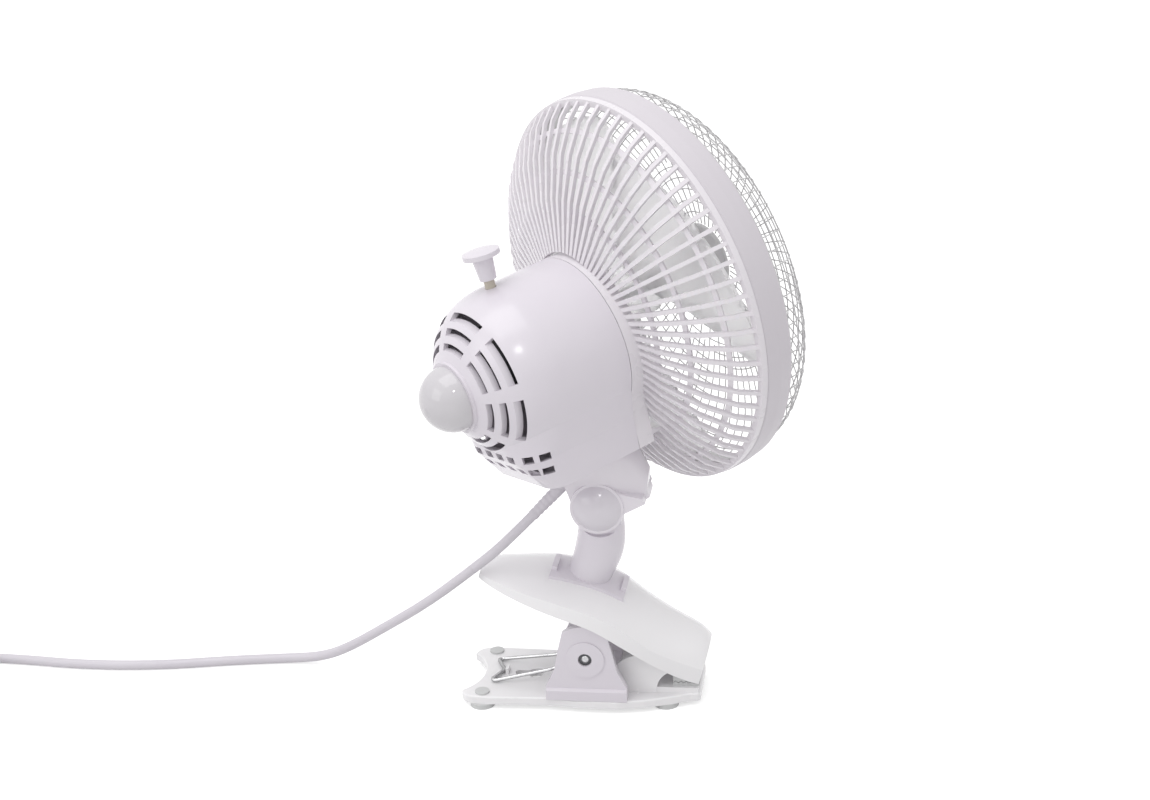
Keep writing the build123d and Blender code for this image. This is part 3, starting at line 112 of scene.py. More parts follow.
print("cord", CORD_WIDTH * 1000, "mm thick, layers of", LAYER_TURNS, "turns")


# %% The cord's route
def run_length(path):
    """How long a row of points is."""
    return sum(math.dist(a, b) for a, b in zip(path, path[1:]))


def coil_points():
    """The put-away turns: inwards on the table, up one layer, and outwards again."""
    centre_y = FALL[-1][1] - COIL_RADIUS
    turns = 2 * LAYER_TURNS
    middle = COIL_START_ANGLE + 180 * turns
    count = POINTS_PER_TURN * turns
    points = []
    for i in range(count + 1):
        angle = COIL_START_ANGLE + 360 * turns * i / count
        turns_off = abs(angle - middle) / 360
        radius = COIL_RADIUS - COIL_STEP * (LAYER_TURNS - turns_off)
        climb = min(max((angle - middle + 90) / 180, 0.0), 1.0)
        # the spline cuts the corners of its control points, so these stand a little outside
        reach = radius / math.cos(math.pi / POINTS_PER_TURN) ** 0.5
        a = math.radians(angle)
        x, y = COIL_X + reach * math.cos(a), centre_y + reach * math.sin(a)
        points.append((x, y, CORD_WIDTH / 2 + COIL_STEP * climb))
    return points


def cord_route():
    """Every control point: sleeve, fall, table, turns and the tail to the plug."""
    out_of_sleeve = [tuple(RELIEF_TO), tuple(RELIEF_TO + relief_way * STRAIGHT_RUN)]
    turns = coil_points()
    entry = (COIL_X + CORD_WIDTH, turns[0][1], CORD_WIDTH / 2)
    tail = (COIL_X - PLUG_TAIL, turns[-1][1], CORD_WIDTH / 2 + COIL_STEP)
    return out_of_sleeve + FALL + [entry] + turns + [tail]


route = cord_route()
print("route of", len(route), "control points,", round(run_length(route), 3), "m along them")

# %% [markdown]
# The bare spline gives the points of the cord's own line. Two joints move the upper end, the
# neck's tilt and the jaw's hinge, and a bending piece can span one joint only. So the tube is
# made in two runs that meet in the fall: one between the neck and the jaw, and one from there
# to the clamp's base, on whose table the rest lies. A spline of order 3 keeps close to its
# points, so they are easy to place by the photograph; a higher order would stray further.


# %% The cord's own line
def one_spline(name, kind, points):
    """A curve of one open spline through or along the given points."""
    curve = bpy.data.curves.new(name, "CURVE")
    curve.dimensions = "3D"
    spline = curve.splines.new(kind)
    spline.points.add(len(points) - 1)
    for point, place in zip(spline.points, points):
        point.co = (*place, 1.0)
    return curve, spline


curve, spline = one_spline("mains_cord", "NURBS", route)
spline.order_u = 3
spline.use_endpoint_u = True
spline.resolution_u = 6
bare = bpy.data.objects.new("cord_line", curve)
bpy.context.scene.collection.objects.link(bare)
bpy.context.view_layer.update()
cord_path = [tuple(v.co) for v in bpy.data.meshes.new_from_object(bare).vertices]
bpy.data.objects.remove(bare)
meeting = min(range(len(cord_path)), key=lambda i: math.dist(cord_path[i], FALL[0]))

# %% [markdown]
# Blender's operators act on whatever is selected and active, so a script has to say what that
# is before each one. The tube could stay a curve, but here it is made a mesh. So the curve is
# given its thickness and converted.


# %% Two runs of tube
TUBE_ROUNDNESS, TUBE_CREASE = 4, 40


def deselect():
    """Nothing is selected, and Blender is in object mode."""
    if bpy.context.object and bpy.context.object.mode != "OBJECT":
        bpy.ops.object.mode_set(mode="OBJECT")
    bpy.ops.object.select_all(action="DESELECT")


def only(piece):
    """Select one piece alone and make it the active one."""
    deselect()
    piece.select_set(True)
    bpy.context.view_layer.objects.active = piece


def smooth_below(degrees):
    """Shade smooth, and keep the edges sharper than this angle crisp."""
    bpy.ops.object.shade_smooth_by_angle(angle=math.radians(degrees))


def tube(name, path, width):
    """A round tube through the points of a path, closed at both ends."""
    curve, _ = one_spline(name, "POLY", path)
    curve.bevel_depth = width / 2
    curve.bevel_resolution = TUBE_ROUNDNESS
    curve.use_fill_caps = True
    piece = bpy.data.objects.new(name, curve)
    bpy.context.scene.collection.objects.link(piece)
    only(piece)
    bpy.ops.object.convert(target="MESH")
    smooth_below(TUBE_CREASE)
    return bpy.context.object


upper_path, lower_path = cord_path[: meeting + 1], cord_path[meeting:]
cord_fall = tube("cord_fall", upper_path, CORD_WIDTH)
cord = tube("mains_cord", lower_path, CORD_WIDTH)

# %% [markdown]
# ## Shared effects
# Moulded plastic is never one flat colour. Its skin carries a very fine grain from the tool, it
# shrinks unevenly over thick places, and handling leaves it a little duller in patches. Each
# material could have its own nodes for that, but then they would drift apart. One node group
# holds the effect, and each finish sets its own amounts on the group's sockets. The scale of a
# noise texture is a number of features per metre: 22 gives clouds of some 45 mm, and 2600 gives
# pores of 0.4 mm.


# %% Helpers for node groups
def new_group(name, inputs, outputs):
    """An empty shader group with named sockets: (name, kind, default) and (name, kind)."""
    tree = bpy.data.node_groups.new(name, "ShaderNodeTree")
    for label, kind, value in inputs:
        socket = tree.interface.new_socket(name=label, in_out="INPUT", socket_type=kind)
        socket.default_value = value
    for label, kind in outputs:
        tree.interface.new_socket(name=label, in_out="OUTPUT", socket_type=kind)
    return tree, tree.nodes.new("NodeGroupInput"), tree.nodes.new("NodeGroupOutput")


def noise(tree, scale, detail, roughness):
    """The value of a noise texture that clings to the piece."""
    node = tree.nodes.new("ShaderNodeTexNoise")
    node.inputs["Scale"].default_value = scale
    node.inputs["Detail"].default_value = detail
    node.inputs["Roughness"].default_value = roughness
    place = tree.nodes.new("ShaderNodeTexCoord").outputs["Object"]
    tree.links.new(place, node.inputs["Vector"])
    return node.outputs["Fac"]


def mask(tree, value, low, high):
    """0 below one level of a value and 1 above another."""
    node = tree.nodes.new("ShaderNodeMapRange")
    node.inputs["From Min"].default_value = low
    node.inputs["From Max"].default_value = high
    tree.links.new(value, node.inputs["Value"])
    return node


def between(tree, value, low, high, first, second):
    """A number that goes from one socket's to another's as the value climbs."""
    node = mask(tree, value, low, high)
    tree.links.new(first, node.inputs["To Min"])
    tree.links.new(second, node.inputs["To Max"])
    return node.outputs["Result"]


def blend_colour(tree, share, first, second):
    """A mix of two colours, each a socket."""
    node = tree.nodes.new("ShaderNodeMix")
    node.data_type = "RGBA"
    tree.links.new(share, node.inputs["Factor"])
    tree.links.new(first, node.inputs["A"])
    tree.links.new(second, node.inputs["B"])
    return node.outputs["Result"]


def bump(tree, strength, height, distance):
    """A bump node: how strong is a socket, and how deep, in metres, is a number."""
    node = tree.nodes.new("ShaderNodeBump")
    node.inputs["Distance"].default_value = distance
    tree.links.new(strength, node.inputs["Strength"])
    tree.links.new(height, node.inputs["Height"])
    return node


SURFACE = [
    ("Colour", "NodeSocketColor"),
    ("Roughness", "NodeSocketFloat"),
    ("Normal", "NodeSocketVector"),
]
print("each group puts out", ", ".join(label for label, kind in SURFACE))

# %% Moulded skin
CLOUDS, PATCHES, SINKS, PORES = 22.0, 60.0, 75.0, 2600.0
SINK_DEPTH, PORE_DEPTH = 0.0006, 0.00012
skin, skin_in, skin_out = new_group(
    "moulded_skin",
    [
        ("Colour", "NodeSocketColor", (0.8, 0.8, 0.8, 1)),
        ("Shaded Colour", "NodeSocketColor", (0.75, 0.75, 0.75, 1)),
        ("Roughness", "NodeSocketFloat", 0.3),
        ("Dull Roughness", "NodeSocketFloat", 0.4),
        ("Grain", "NodeSocketFloat", 0.1),
        ("Wave", "NodeSocketFloat", 0.1),
    ],
    SURFACE,
)
amount = skin_in.outputs
cloudy = mask(skin, noise(skin, CLOUDS, 4.0, 0.6), 0.35, 0.7).outputs["Result"]
patchy = noise(skin, PATCHES, 3.0, 0.55)
sink_marks = bump(skin, amount["Wave"], noise(skin, SINKS, 1.0, 0.4), SINK_DEPTH)
pores = bump(skin, amount["Grain"], noise(skin, PORES, 2.0, 0.5), PORE_DEPTH)
skin.links.new(sink_marks.outputs["Normal"], pores.inputs["Normal"])
skin.links.new(
    blend_colour(skin, cloudy, amount["Colour"], amount["Shaded Colour"]),
    skin_out.inputs["Colour"],
)
skin.links.new(
    between(skin, patchy, 0.3, 0.75, amount["Roughness"], amount["Dull Roughness"]),
    skin_out.inputs["Roughness"],
)
skin.links.new(pores.outputs["Normal"], skin_out.inputs["Normal"])
print("skin group:", len(skin.nodes), "nodes")

# %% [markdown]
# Metal has another skin. Rolled wire and turned pins carry fine lines from the tools that drew
# them, and a plated surface is a little uneven in its shine. It gets a group of its own, because
# its patches change the shine and the colour together.

# %% Drawn metal
SPOTS, SCRATCHES, SCRATCH_DEPTH = 240.0, 1500.0, 0.0001
metal_skin, metal_in, metal_out = new_group(
    "drawn_metal",
    [
        ("Colour", "NodeSocketColor", (0.6, 0.6, 0.6, 1)),
        ("Dark Colour", "NodeSocketColor", (0.4, 0.4, 0.4, 1)),
        ("Roughness", "NodeSocketFloat", 0.2),
        ("Dull Roughness", "NodeSocketFloat", 0.4),
        ("Scratch", "NodeSocketFloat", 0.2),
    ],
    SURFACE,
)
amount = metal_in.outputs
spots = noise(metal_skin, SPOTS, 5.0, 0.65)
stain = mask(metal_skin, spots, 0.45, 0.75).outputs["Result"]
fine_lines = noise(metal_skin, SCRATCHES, 3.0, 0.7)
scratch = bump(metal_skin, amount["Scratch"], fine_lines, SCRATCH_DEPTH)
metal_skin.links.new(
    blend_colour(metal_skin, stain, amount["Colour"], amount["Dark Colour"]),
    metal_out.inputs["Colour"],
)
metal_skin.links.new(
    between(metal_skin, spots, 0.3, 0.7, amount["Roughness"], amount["Dull Roughness"]),
    metal_out.inputs["Roughness"],
)
metal_skin.links.new(scratch.outputs["Normal"], metal_out.inputs["Normal"])
print("metal group:", len(metal_skin.nodes), "nodes")

# %% [markdown]
# ## Finishes
# A finish is one material: a group gives what changes over the surface, and the Principled
# shader what doesn't. The fan's white is not neutral. The head and the post lean to lilac, and
# the clamp is a cooler and brighter white. Some whites also carry painted light and shade: the
# neck's is lighter, painted light against the shade under the housing, and the guard's band,
# the dome and the hinge's caps are darker, painted shade. The dome and the caps are the
# shiniest. All are injection mouldings. One white for all would be simpler, but the lilac head
# and the cooler clamp stand apart. The blades are frosted, the pads and feet grey rubber, the
# spring bright wire.


# %% Finishes from the groups
def opaque(red, green, blue):
    """A colour with full alpha, as the sockets take it."""
    return (red, green, blue, 1.0)


def make_finish(name, tree, values, **shader_values):
    """One material with a group's values, and plain values on the shader's own sockets."""
    material = bpy.data.materials.new(name)
    material.use_nodes = True
    links = material.node_tree.links
    shader = material.node_tree.nodes["Principled BSDF"]
    group = material.node_tree.nodes.new("ShaderNodeGroup")
    group.node_tree = tree
    for socket, value in values.items():
        group.inputs[socket].default_value = value
    links.new(group.outputs["Colour"], shader.inputs["Base Color"])
    links.new(group.outputs["Roughness"], shader.inputs["Roughness"])
    links.new(group.outputs["Normal"], shader.inputs["Normal"])
    for socket, value in shader_values.items():
        shader.inputs[socket.replace("_", " ")].default_value = value
    return material


def plastic(name, colour, shaded, rough, dull, grain=0.06, wave=0.05, **shader_values):
    """A moulded finish: two near colours, two near roughnesses, and the amounts of relief."""
    values = {
        "Colour": opaque(*colour),
        "Shaded Colour": opaque(*shaded),
        "Roughness": rough,
        "Dull Roughness": dull,
        "Grain": grain,
        "Wave": wave,
    }
    return make_finish(name, skin, values, **shader_values)


def metal(name, colour, dark, rough, dull, scratch=0.2):
    """A metal finish: its colour, its stains, two roughnesses and its scratches."""
    values = {
        "Colour": opaque(*colour),
        "Dark Colour": opaque(*dark),
        "Roughness": rough,
        "Dull Roughness": dull,
        "Scratch": scratch,
    }
    return make_finish(name, metal_skin, values, Metallic=1.0)


print("finishes draw on", skin.name, "and", metal_skin.name)

# %% Whites
head_white = plastic("head white", (0.715, 0.678, 0.730), (0.702, 0.662, 0.718), 0.18, 0.26)
# the neck's white is lighter than the head's: painted light against the shade under the housing
neck_painted_light = plastic("neck white", (0.775, 0.738, 0.785), (0.760, 0.722, 0.772), 0.18, 0.26)
clamp_white = plastic("clamp white", (0.870, 0.858, 0.872), (0.856, 0.843, 0.858), 0.20, 0.28)
rib_white = plastic("rib white", (0.775, 0.742, 0.780), (0.760, 0.727, 0.766), 0.24, 0.32)
# the band's white is darker than the ribs': painted shade against the top lamp's light on it
band_painted_shade = plastic("band white", (0.640, 0.606, 0.646), (0.625, 0.590, 0.632), 0.44, 0.52)
# the caps' white is darker than the head's: painted shade
cap_painted_shade = plastic("cap white", (0.695, 0.662, 0.710), (0.680, 0.645, 0.695), 0.12, 0.20)
# the dome's white is darker than the head's: painted shade against the left lamp's light on it
dome_painted_shade = plastic("dome white", (0.620, 0.600, 0.625), (0.580, 0.560, 0.588), 0.06, 0.12)
# the mesh's grey is painted shade on thin white wires
mesh_painted_shade = plastic("mesh grey", (0.640, 0.634, 0.640), (0.610, 0.604, 0.612), 0.30, 0.42)
print("whites and greys of the mouldings:", len(bpy.data.materials), "materials so far")

# %% Other plastics and rubber
frosted = plastic(
    "frosted blade", (0.935, 0.930, 0.935), (0.925, 0.920, 0.925), 0.40, 0.50, 0.15, 0.03,
    Transmission_Weight=0.70, IOR=1.12,
)
rubber = plastic(
    "grey rubber", (0.620, 0.625, 0.625), (0.580, 0.585, 0.585), 0.55, 0.75, 0.4, 0.1
)
cord_skin = plastic(
    "cord sheath", (0.640, 0.610, 0.655), (0.610, 0.580, 0.628), 0.34, 0.48, 0.2
)
stem_beige = plastic("beige stem", (0.560, 0.515, 0.440), (0.500, 0.455, 0.380), 0.35, 0.5)
nylon = plastic("dark nylon", (0.075, 0.075, 0.080), (0.055, 0.055, 0.060), 0.45, 0.6, 0.3)
print("plastics done:", len(bpy.data.materials), "materials so far")

# %% Metals
wire_metal = metal("bright wire", (0.80, 0.80, 0.81), (0.62, 0.62, 0.63), 0.12, 0.22)
steel = metal("plated steel", (0.56, 0.56, 0.57), (0.40, 0.40, 0.41), 0.22, 0.40)
shade_black_steel = metal("painted shade black", (0.10, 0.10, 0.105), (0.06, 0.06, 0.065), 0.35, 0.5)
cast = metal("cast aluminium", (0.50, 0.51, 0.52), (0.36, 0.37, 0.38), 0.45, 0.65, 0.6)
copper = metal("lacquered copper", (0.62, 0.30, 0.14), (0.42, 0.18, 0.07), 0.30, 0.45, 0.8)
brass = metal("bright brass", (0.70, 0.56, 0.28), (0.50, 0.38, 0.18), 0.20, 0.36)
print("metals done:", len(bpy.data.materials), "materials so far")

# %% [markdown]
# Thin bright wire looks striped: it mirrors a white room along its middle and something dark
# along its edges. This studio has nothing dark in it, so that dark reflection is painted: the
# wire's colour gets darker towards its rims, by the angle at which the surface is seen. The
# Layer Weight node for that stays in the material itself, outside the group.

# %% Painted reflection: dark rims of the wire
PAINTED_REFLECTION_DARK, PAINTED_REFLECTION_BLEND = opaque(0.05, 0.05, 0.055), 0.42
tree = wire_metal.node_tree
shader = tree.nodes["Principled BSDF"]
bright = shader.inputs["Base Color"].links[0].from_socket
angle_seen = tree.nodes.new("ShaderNodeLayerWeight")
angle_seen.inputs["Blend"].default_value = PAINTED_REFLECTION_BLEND
# the painted reflection: the wire's colour darkens towards its rims
painted_reflection = tree.nodes.new("ShaderNodeMix")
painted_reflection.data_type = "RGBA"
painted_reflection.inputs["B"].default_value = PAINTED_REFLECTION_DARK
tree.links.new(angle_seen.outputs["Facing"], painted_reflection.inputs["Factor"])
tree.links.new(bright, painted_reflection.inputs["A"])
tree.links.new(painted_reflection.outputs["Result"], shader.inputs["Base Color"])
print("wire material:", len(tree.nodes), "nodes")

# %% [markdown]
# Now every solid gets its finish. The hidden ones inside the housing get theirs too, because
# the vents show a little of them and the model is meant to be taken apart.

# %% Dress the solids
FINISH = {
    "base_plate": clamp_white, "rubber_feet": rubber, "base_screws": steel,
    "lower_pad": rubber, "upper_pad": rubber, "pivot_bracket": head_white,
    "pivot_pin": steel, "pivot_spacer": nylon, "clamp_spring": wire_metal,
    "spring_legs": wire_metal, "upper_jaw": clamp_white, "post": head_white,
    "neck": neck_painted_light, "hinge_caps": cap_painted_shade, "tilt_bolt": steel, "tilt_nut": steel,
    "tilt_washers": nylon, "swivel_spigot": nylon, "swivel_screw": steel,
    "strain_relief": cord_skin, "motor_housing": head_white, "rear_dome": dome_painted_shade,
    "housing_screw": steel, "rear_guard": rib_white, "rear_guard_rings": rib_white,
    "guard_band": band_painted_shade, "front_guard": rib_white, "front_guard_rings": rib_white,
    "front_bracket": cast, "rear_bracket": cast, "motor_stator": steel,
    "motor_coils": copper, "motor_screws": steel, "bearings": brass, "gearbox": nylon,
    "swivel_bush": nylon, "motor_shaft": steel, "rotor": steel, "fan_blade": frosted,
    "blade_nut": nylon, "knob_stem": stem_beige, "oscillation_knob": head_white,
    "plug_body": cord_skin, "plug_pins": brass, "power_cord": cord_skin,
    "cord_coil": cord_skin,
}
for name, node in nodes.items():
    node.data.materials.clear()
    node.data.materials.append(FINISH[name])
print("finished solids:", len(FINISH))

# %% [markdown]
# ## The cord's place
# Both runs of tube take the sheath's finish. The upper one runs between the neck and the jaw,
# the lower one between the jaw and the table under the base. The lower run also stands for the
# plain solids of the cord and of its put-away turns.

# %% Dress the cord
for run in (cord_fall, cord):
    run.data.materials.append(cord_skin)
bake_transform(cord_fall)
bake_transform(cord)
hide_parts("power_cord", "cord_coil")

# %% [markdown]
# ## Shapes by extrusion
# Round pieces such as the sleeve, the pin and the black washers of painted shade could be turned
# from a profile with the Screw modifier. Here they are made as by hand: a small disc is added,
# and its face is extruded and resized from station to station, as on a lathe. That closes both
# ends by itself.
#
# A finished piece's object sits at the origin with its place in its mesh, as the solids do, so
# that a pattern on Object coordinates never slides. settle() sees to that.


# %% Settling and turning outwards
def settle(piece):
    """Put the piece's place into its mesh, so that its object sits at the origin."""
    only(piece)
    bpy.ops.object.transform_apply(location=True, rotation=True, scale=True)
    return piece


def edit_all():
    """Enter edit mode on the active piece with everything selected."""
    bpy.ops.object.mode_set(mode="EDIT")
    bpy.ops.mesh.select_all(action="SELECT")


def face_outwards():
    """Point every face of the piece in edit mode outwards, and go back to object mode."""
    bpy.ops.mesh.select_all(action="SELECT")
    bpy.ops.mesh.normals_make_consistent(inside=False)
    bpy.ops.object.mode_set(mode="OBJECT")


print("helpers ready, active piece:", bpy.context.object.name)


# %% Lathe
LATHE_SIDES, LATHE_CREASE = 32, 35


def extruded(name, stations, sides=LATHE_SIDES):
    """A round piece along Z from a list of (height, radius)."""
    deselect()
    z, radius = stations[0]
    bpy.ops.mesh.primitive_circle_add(
        vertices=sides, radius=radius, fill_type="NGON", location=(0, 0, z)
    )
    piece = settle(bpy.context.object)
    piece.name = name
    edit_all()
    for next_z, next_radius in stations[1:]:
        move = {"value": (0, 0, next_z - z)}
        bpy.ops.mesh.extrude_region_move(TRANSFORM_OT_translate=move)
        share = next_radius / radius
        bpy.ops.transform.resize(value=(share, share, 1), center_override=(0, 0, next_z))
        z, radius = next_z, next_radius
    face_outwards()
    smooth_below(LATHE_CREASE)
    return piece


def stand_at(piece, start, way):
    """Turn a piece from Z to a direction, put it at a point, and settle it there."""
    turn = Vector(way).to_track_quat("Z", "Y").to_matrix().to_4x4()
    piece.matrix_world = Matrix.Translation(Vector(start)) @ turn
    return settle(piece)


def dress(piece, finish, body, slot, *replaced):
    """Give a piece its finish, let it ride on its body and hide the solids it stands for."""
    piece.data.materials.clear()
    piece.data.materials.append(finish)
    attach(piece, body)
    if replaced:
        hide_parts(*replaced)
    return piece


print("lathe ready, turns pieces of", LATHE_SIDES, "sides")

# %% [markdown]
# ## The lead's sleeve
# Where the lead leaves the neck, a tapered sleeve of the same soft stuff keeps it from kinking,
# and shallow grooves let it bend. The lead runs on through it. The grooves could be a bump in
# the material, but they are wide enough to show at the edge, so they are in the shape.

# %% Sleeve
SLEEVE_LENGTH, SLEEVE_WIDE, SLEEVE_SLIM = 0.0240, 0.0030, 0.0026
SLEEVE_GROOVES, GROOVE_DEPTH, GROOVE_FROM = 5, 0.00018, 0.0085
GROOVE_PROFILE = ((0.15, 1.0), (0.45, 1.0), (0.60, 0.0), (1.0, 0.0))
END_ROUNDING, END_DRAW, SHOULDER = 0.0004, 0.0003, 0.0001
sleeve_stations = [(0.0, SLEEVE_WIDE), (GROOVE_FROM, SLEEVE_WIDE - SHOULDER)]
groove_pitch = (SLEEVE_LENGTH - GROOVE_FROM) / (SLEEVE_GROOVES + 0.5)
for k in range(SLEEVE_GROOVES):
    z = GROOVE_FROM + groove_pitch * k
    wide = SLEEVE_WIDE - (SLEEVE_WIDE - SLEEVE_SLIM) * (k + 0.5) / SLEEVE_GROOVES
    for share, cut in GROOVE_PROFILE:
        sleeve_stations.append((z + groove_pitch * share, wide - GROOVE_DEPTH * cut))
sleeve_stations += [
    (SLEEVE_LENGTH - END_ROUNDING, SLEEVE_SLIM),
    (SLEEVE_LENGTH, SLEEVE_SLIM - END_DRAW),
]
sleeve = stand_at(extruded("lead_sleeve", sleeve_stations), RELIEF_FROM, relief_way)
dress(sleeve, cord_skin, "neck_body", "cord_grey", "strain_relief")
print("sleeve", SLEEVE_LENGTH * 1000, "mm long, stations", len(sleeve_stations))

# %% [markdown]
# The upper run ends where the lower one begins.

# %% [markdown]
# ## The front mesh
# The front of the cage is a fine mesh: radial wires just over half a millimetre thick, crossed
# by rings some six millimetres apart. A Wireframe modifier on a dome would give such a net
# quickly, but with square wires that all stop at the same places. So one wire is extruded along
# the dome's curve and spun round the fan's axis; every second one stops short, where the others
# come close. The rings are thin tori, and the mesh hangs in a rim that seats in the band.
#
# The cage leans and turns with the head. It is modelled about the X axis, and its matrix takes
# it to its place at the end.

# %% The cage's place and curve
HEAD_AT = Vector((-0.011319, 0.0, 0.185906))
FAN_AXIS = Vector((0.71693457, 0.67815967, 0.16156818))
NECK_AXIS = Vector((-0.2198462, 0.0, 0.97553454))
head_columns = Matrix((FAN_AXIS, NECK_AXIS.cross(FAN_AXIS), NECK_AXIS)).transposed()
HEAD_PLACE = Matrix.Translation(HEAD_AT) @ head_columns.to_4x4()
BAND_FRONT, MESH_RADIUS, MESH_DEPTH, DISC_RADIUS = 0.06214, 0.0921, 0.0295, 0.017
DEPTH_POWER, RADIUS_POWER = 0.8, 2 / 3
FINE_STEPS, EDGE_MARGIN = 4000, 0.0005


def dome_point(t):
    """The front dome's outline: distance along the fan's axis, and radius."""
    return (
        BAND_FRONT + MESH_DEPTH * math.cos(t) ** DEPTH_POWER,
        MESH_RADIUS * math.sin(t) ** RADIUS_POWER,
    )


def spaced(pitch, t_from, t_to):
    """Points of the outline that lie one pitch apart."""
    step = (t_to - t_from) / FINE_STEPS
    fine = [dome_point(t_from + step * i) for i in range(FINE_STEPS + 1)]
    points, gone = [fine[0]], 0.0
    for a, b in zip(fine, fine[1:]):
        gone += math.dist(a, b)
        if gone >= pitch:
            points.append(b)
            gone = 0.0
    return points


disc_edge = math.asin((DISC_RADIUS / MESH_RADIUS) ** (1 / RADIUS_POWER))
rim_edge = math.pi / 2 - EDGE_MARGIN
print("cage stands at", [round(v, 4) for v in HEAD_AT], "disc at t", round(disc_edge, 3))

# %% [markdown]
# A wire is a five-sided disc, extruded from point to point and turned a little at each, so that
# it keeps its thickness round the bend. Five sides are enough for something so thin that is
# repeated 84 times. Spin with dupli copies it round the axis.

# %% One radial wire, and many
WIRE_THICK, WIRE_SIDES = 0.00060, 5


def radial_wire(name, points):
    """A wire through points (along the axis, radius), in the cage's own frame."""
    ways = [math.atan2(b[0] - a[0], b[1] - a[1]) for a, b in zip(points, points[1:])]
    ways.append(ways[-1])
    deselect()
    x, r = points[0]
    bpy.ops.mesh.primitive_circle_add(
        vertices=WIRE_SIDES, radius=WIRE_THICK / 2, fill_type="NGON",
        location=(x, 0, r), rotation=(0, ways[0], 0),
    )
    piece = settle(bpy.context.object)
    piece.name = name
    edit_all()
    for (x0, r0), (x1, r1), was, now in zip(points, points[1:], ways, ways[1:]):
        move = {"value": (x1 - x0, 0, r1 - r0)}
        bpy.ops.mesh.extrude_region_move(TRANSFORM_OT_translate=move)
        bpy.ops.transform.rotate(
            value=-(now - was), orient_axis="Y", center_override=(x1, 0, r1)
        )
    return piece


def spun(piece, copies):
    """Repeat the wire in edit mode round the fan's axis."""
    bpy.ops.mesh.select_all(action="SELECT")
    bpy.ops.mesh.spin(
        steps=copies - 1, dupli=True, angle=2 * math.pi * (copies - 1) / copies,
        center=(0, 0, 0), axis=(1, 0, 0),
    )
    face_outwards()
    bpy.ops.object.shade_smooth()
    return piece


WIRES, STATION_PITCH, SHORT_FROM, INTO_RIM = 42, 0.0052, 0.047, 0.002
stations = spaced(STATION_PITCH, disc_edge, rim_edge) + [(BAND_FRONT - INTO_RIM, MESH_RADIUS)]
short_stations = [p for p in stations if p[1] > SHORT_FROM]
long_wires = spun(radial_wire("mesh_wires", stations), WIRES)
short_wires = spun(radial_wire("mesh_short_wires", short_stations), WIRES)
short_wires.rotation_euler = (math.pi / WIRES, 0, 0)
settle(short_wires)
print("wire stations", len(stations), "and", len(short_stations), "for", 2 * WIRES, "wires")

# %% [markdown]
# The rings lie one pitch apart along the dome's curve. Even steps along the axis would be
# simpler, but the dome is flat in its middle, so they would spread the rings there and crowd
# them at the edge. Each starts as a thin torus, and is sunk into the backs of the wires as if
# it were welded to them.

# %% Rings of the mesh
RING_PITCH, RING_SEGMENTS = 0.0058, 120
RING_SINK = WIRE_THICK * 0.4
rings = []
for x, r in spaced(RING_PITCH, disc_edge, rim_edge)[1:]:
    deselect()
    bpy.ops.mesh.primitive_torus_add(
        major_radius=r - RING_SINK, minor_radius=WIRE_THICK / 2,
        major_segments=RING_SEGMENTS, minor_segments=WIRE_SIDES,
        location=(x - RING_SINK, 0, 0), rotation=(0, math.pi / 2, 0),
    )
    rings.append(settle(bpy.context.object))
    bpy.ops.object.shade_smooth()
print("rings", len(rings))

# %% [markdown]
# The rim is the flat hoop in which the wires end. It could be extruded as the sleeve is, but
# then it would be solid. An open cylinder that gets its wall from Solidify and its rounded
# edges from Bevel is a true hoop, and takes two modifiers.


# %% Rim
RIM_OUT, RIM_THICK, RIM_BACK, RIM_NOSE = 0.0923, 0.0017, 0.05444, 0.06374
RIM_SIDES, RIM_ROUNDING = 144, 0.0005


def finish_with(piece, kind, **settings):
    """Add one modifier and apply it."""
    only(piece)
    modifier = piece.modifiers.new(kind.title(), kind)
    for name, value in settings.items():
        setattr(modifier, name, value)
    bpy.ops.object.modifier_apply(modifier=modifier.name)
    return piece


deselect()
bpy.ops.mesh.primitive_cylinder_add(
    vertices=RIM_SIDES, radius=RIM_OUT - RIM_THICK / 2, depth=RIM_NOSE - RIM_BACK,
    end_fill_type="NOTHING",
    location=((RIM_BACK + RIM_NOSE) / 2, 0, 0), rotation=(0, math.pi / 2, 0),
)
mesh_rim = settle(bpy.context.object)
finish_with(mesh_rim, "SOLIDIFY", thickness=RIM_THICK, offset=0.0)
finish_with(mesh_rim, "BEVEL", width=RIM_ROUNDING, segments=2, limit_method="ANGLE")
smooth_below(LATHE_CREASE)
print("rim", round(RIM_OUT * 2000, 1), "mm across,", len(mesh_rim.data.polygons), "faces")

# %% [markdown]
# The long wires start at a plain round disc in the middle. It is turned on the lathe like the
# sleeve. A flat cylinder would do from afar, but its sharp edge would catch no light.

# %% Middle disc
DISC_SIDES = 64
DISC_PROFILE = (
    (-0.0022, DISC_RADIUS - 0.0004),
    (-0.0018, DISC_RADIUS),
    (-0.0006, DISC_RADIUS),
    (0.0001, DISC_RADIUS - 0.0008),
    (0.0004, DISC_RADIUS * 0.6),
    (0.0005, DISC_RADIUS * 0.2),
)
disc_front = dome_point(disc_edge)[0]
disc_stations = [(disc_front + ahead, radius) for ahead, radius in DISC_PROFILE]
disc = extruded("mesh_disc", disc_stations, sides=DISC_SIDES)
disc.rotation_euler = (0, math.pi / 2, 0)
settle(disc)
print("disc", DISC_RADIUS * 2000, "mm across, front at", round(disc_front * 1000, 1), "mm")

# %% [markdown]
# On the real fan the mesh is one piece, so its parts are joined. They could also stay apart and
# ride on the head one by one, but that would leave some twenty pieces to keep track of.

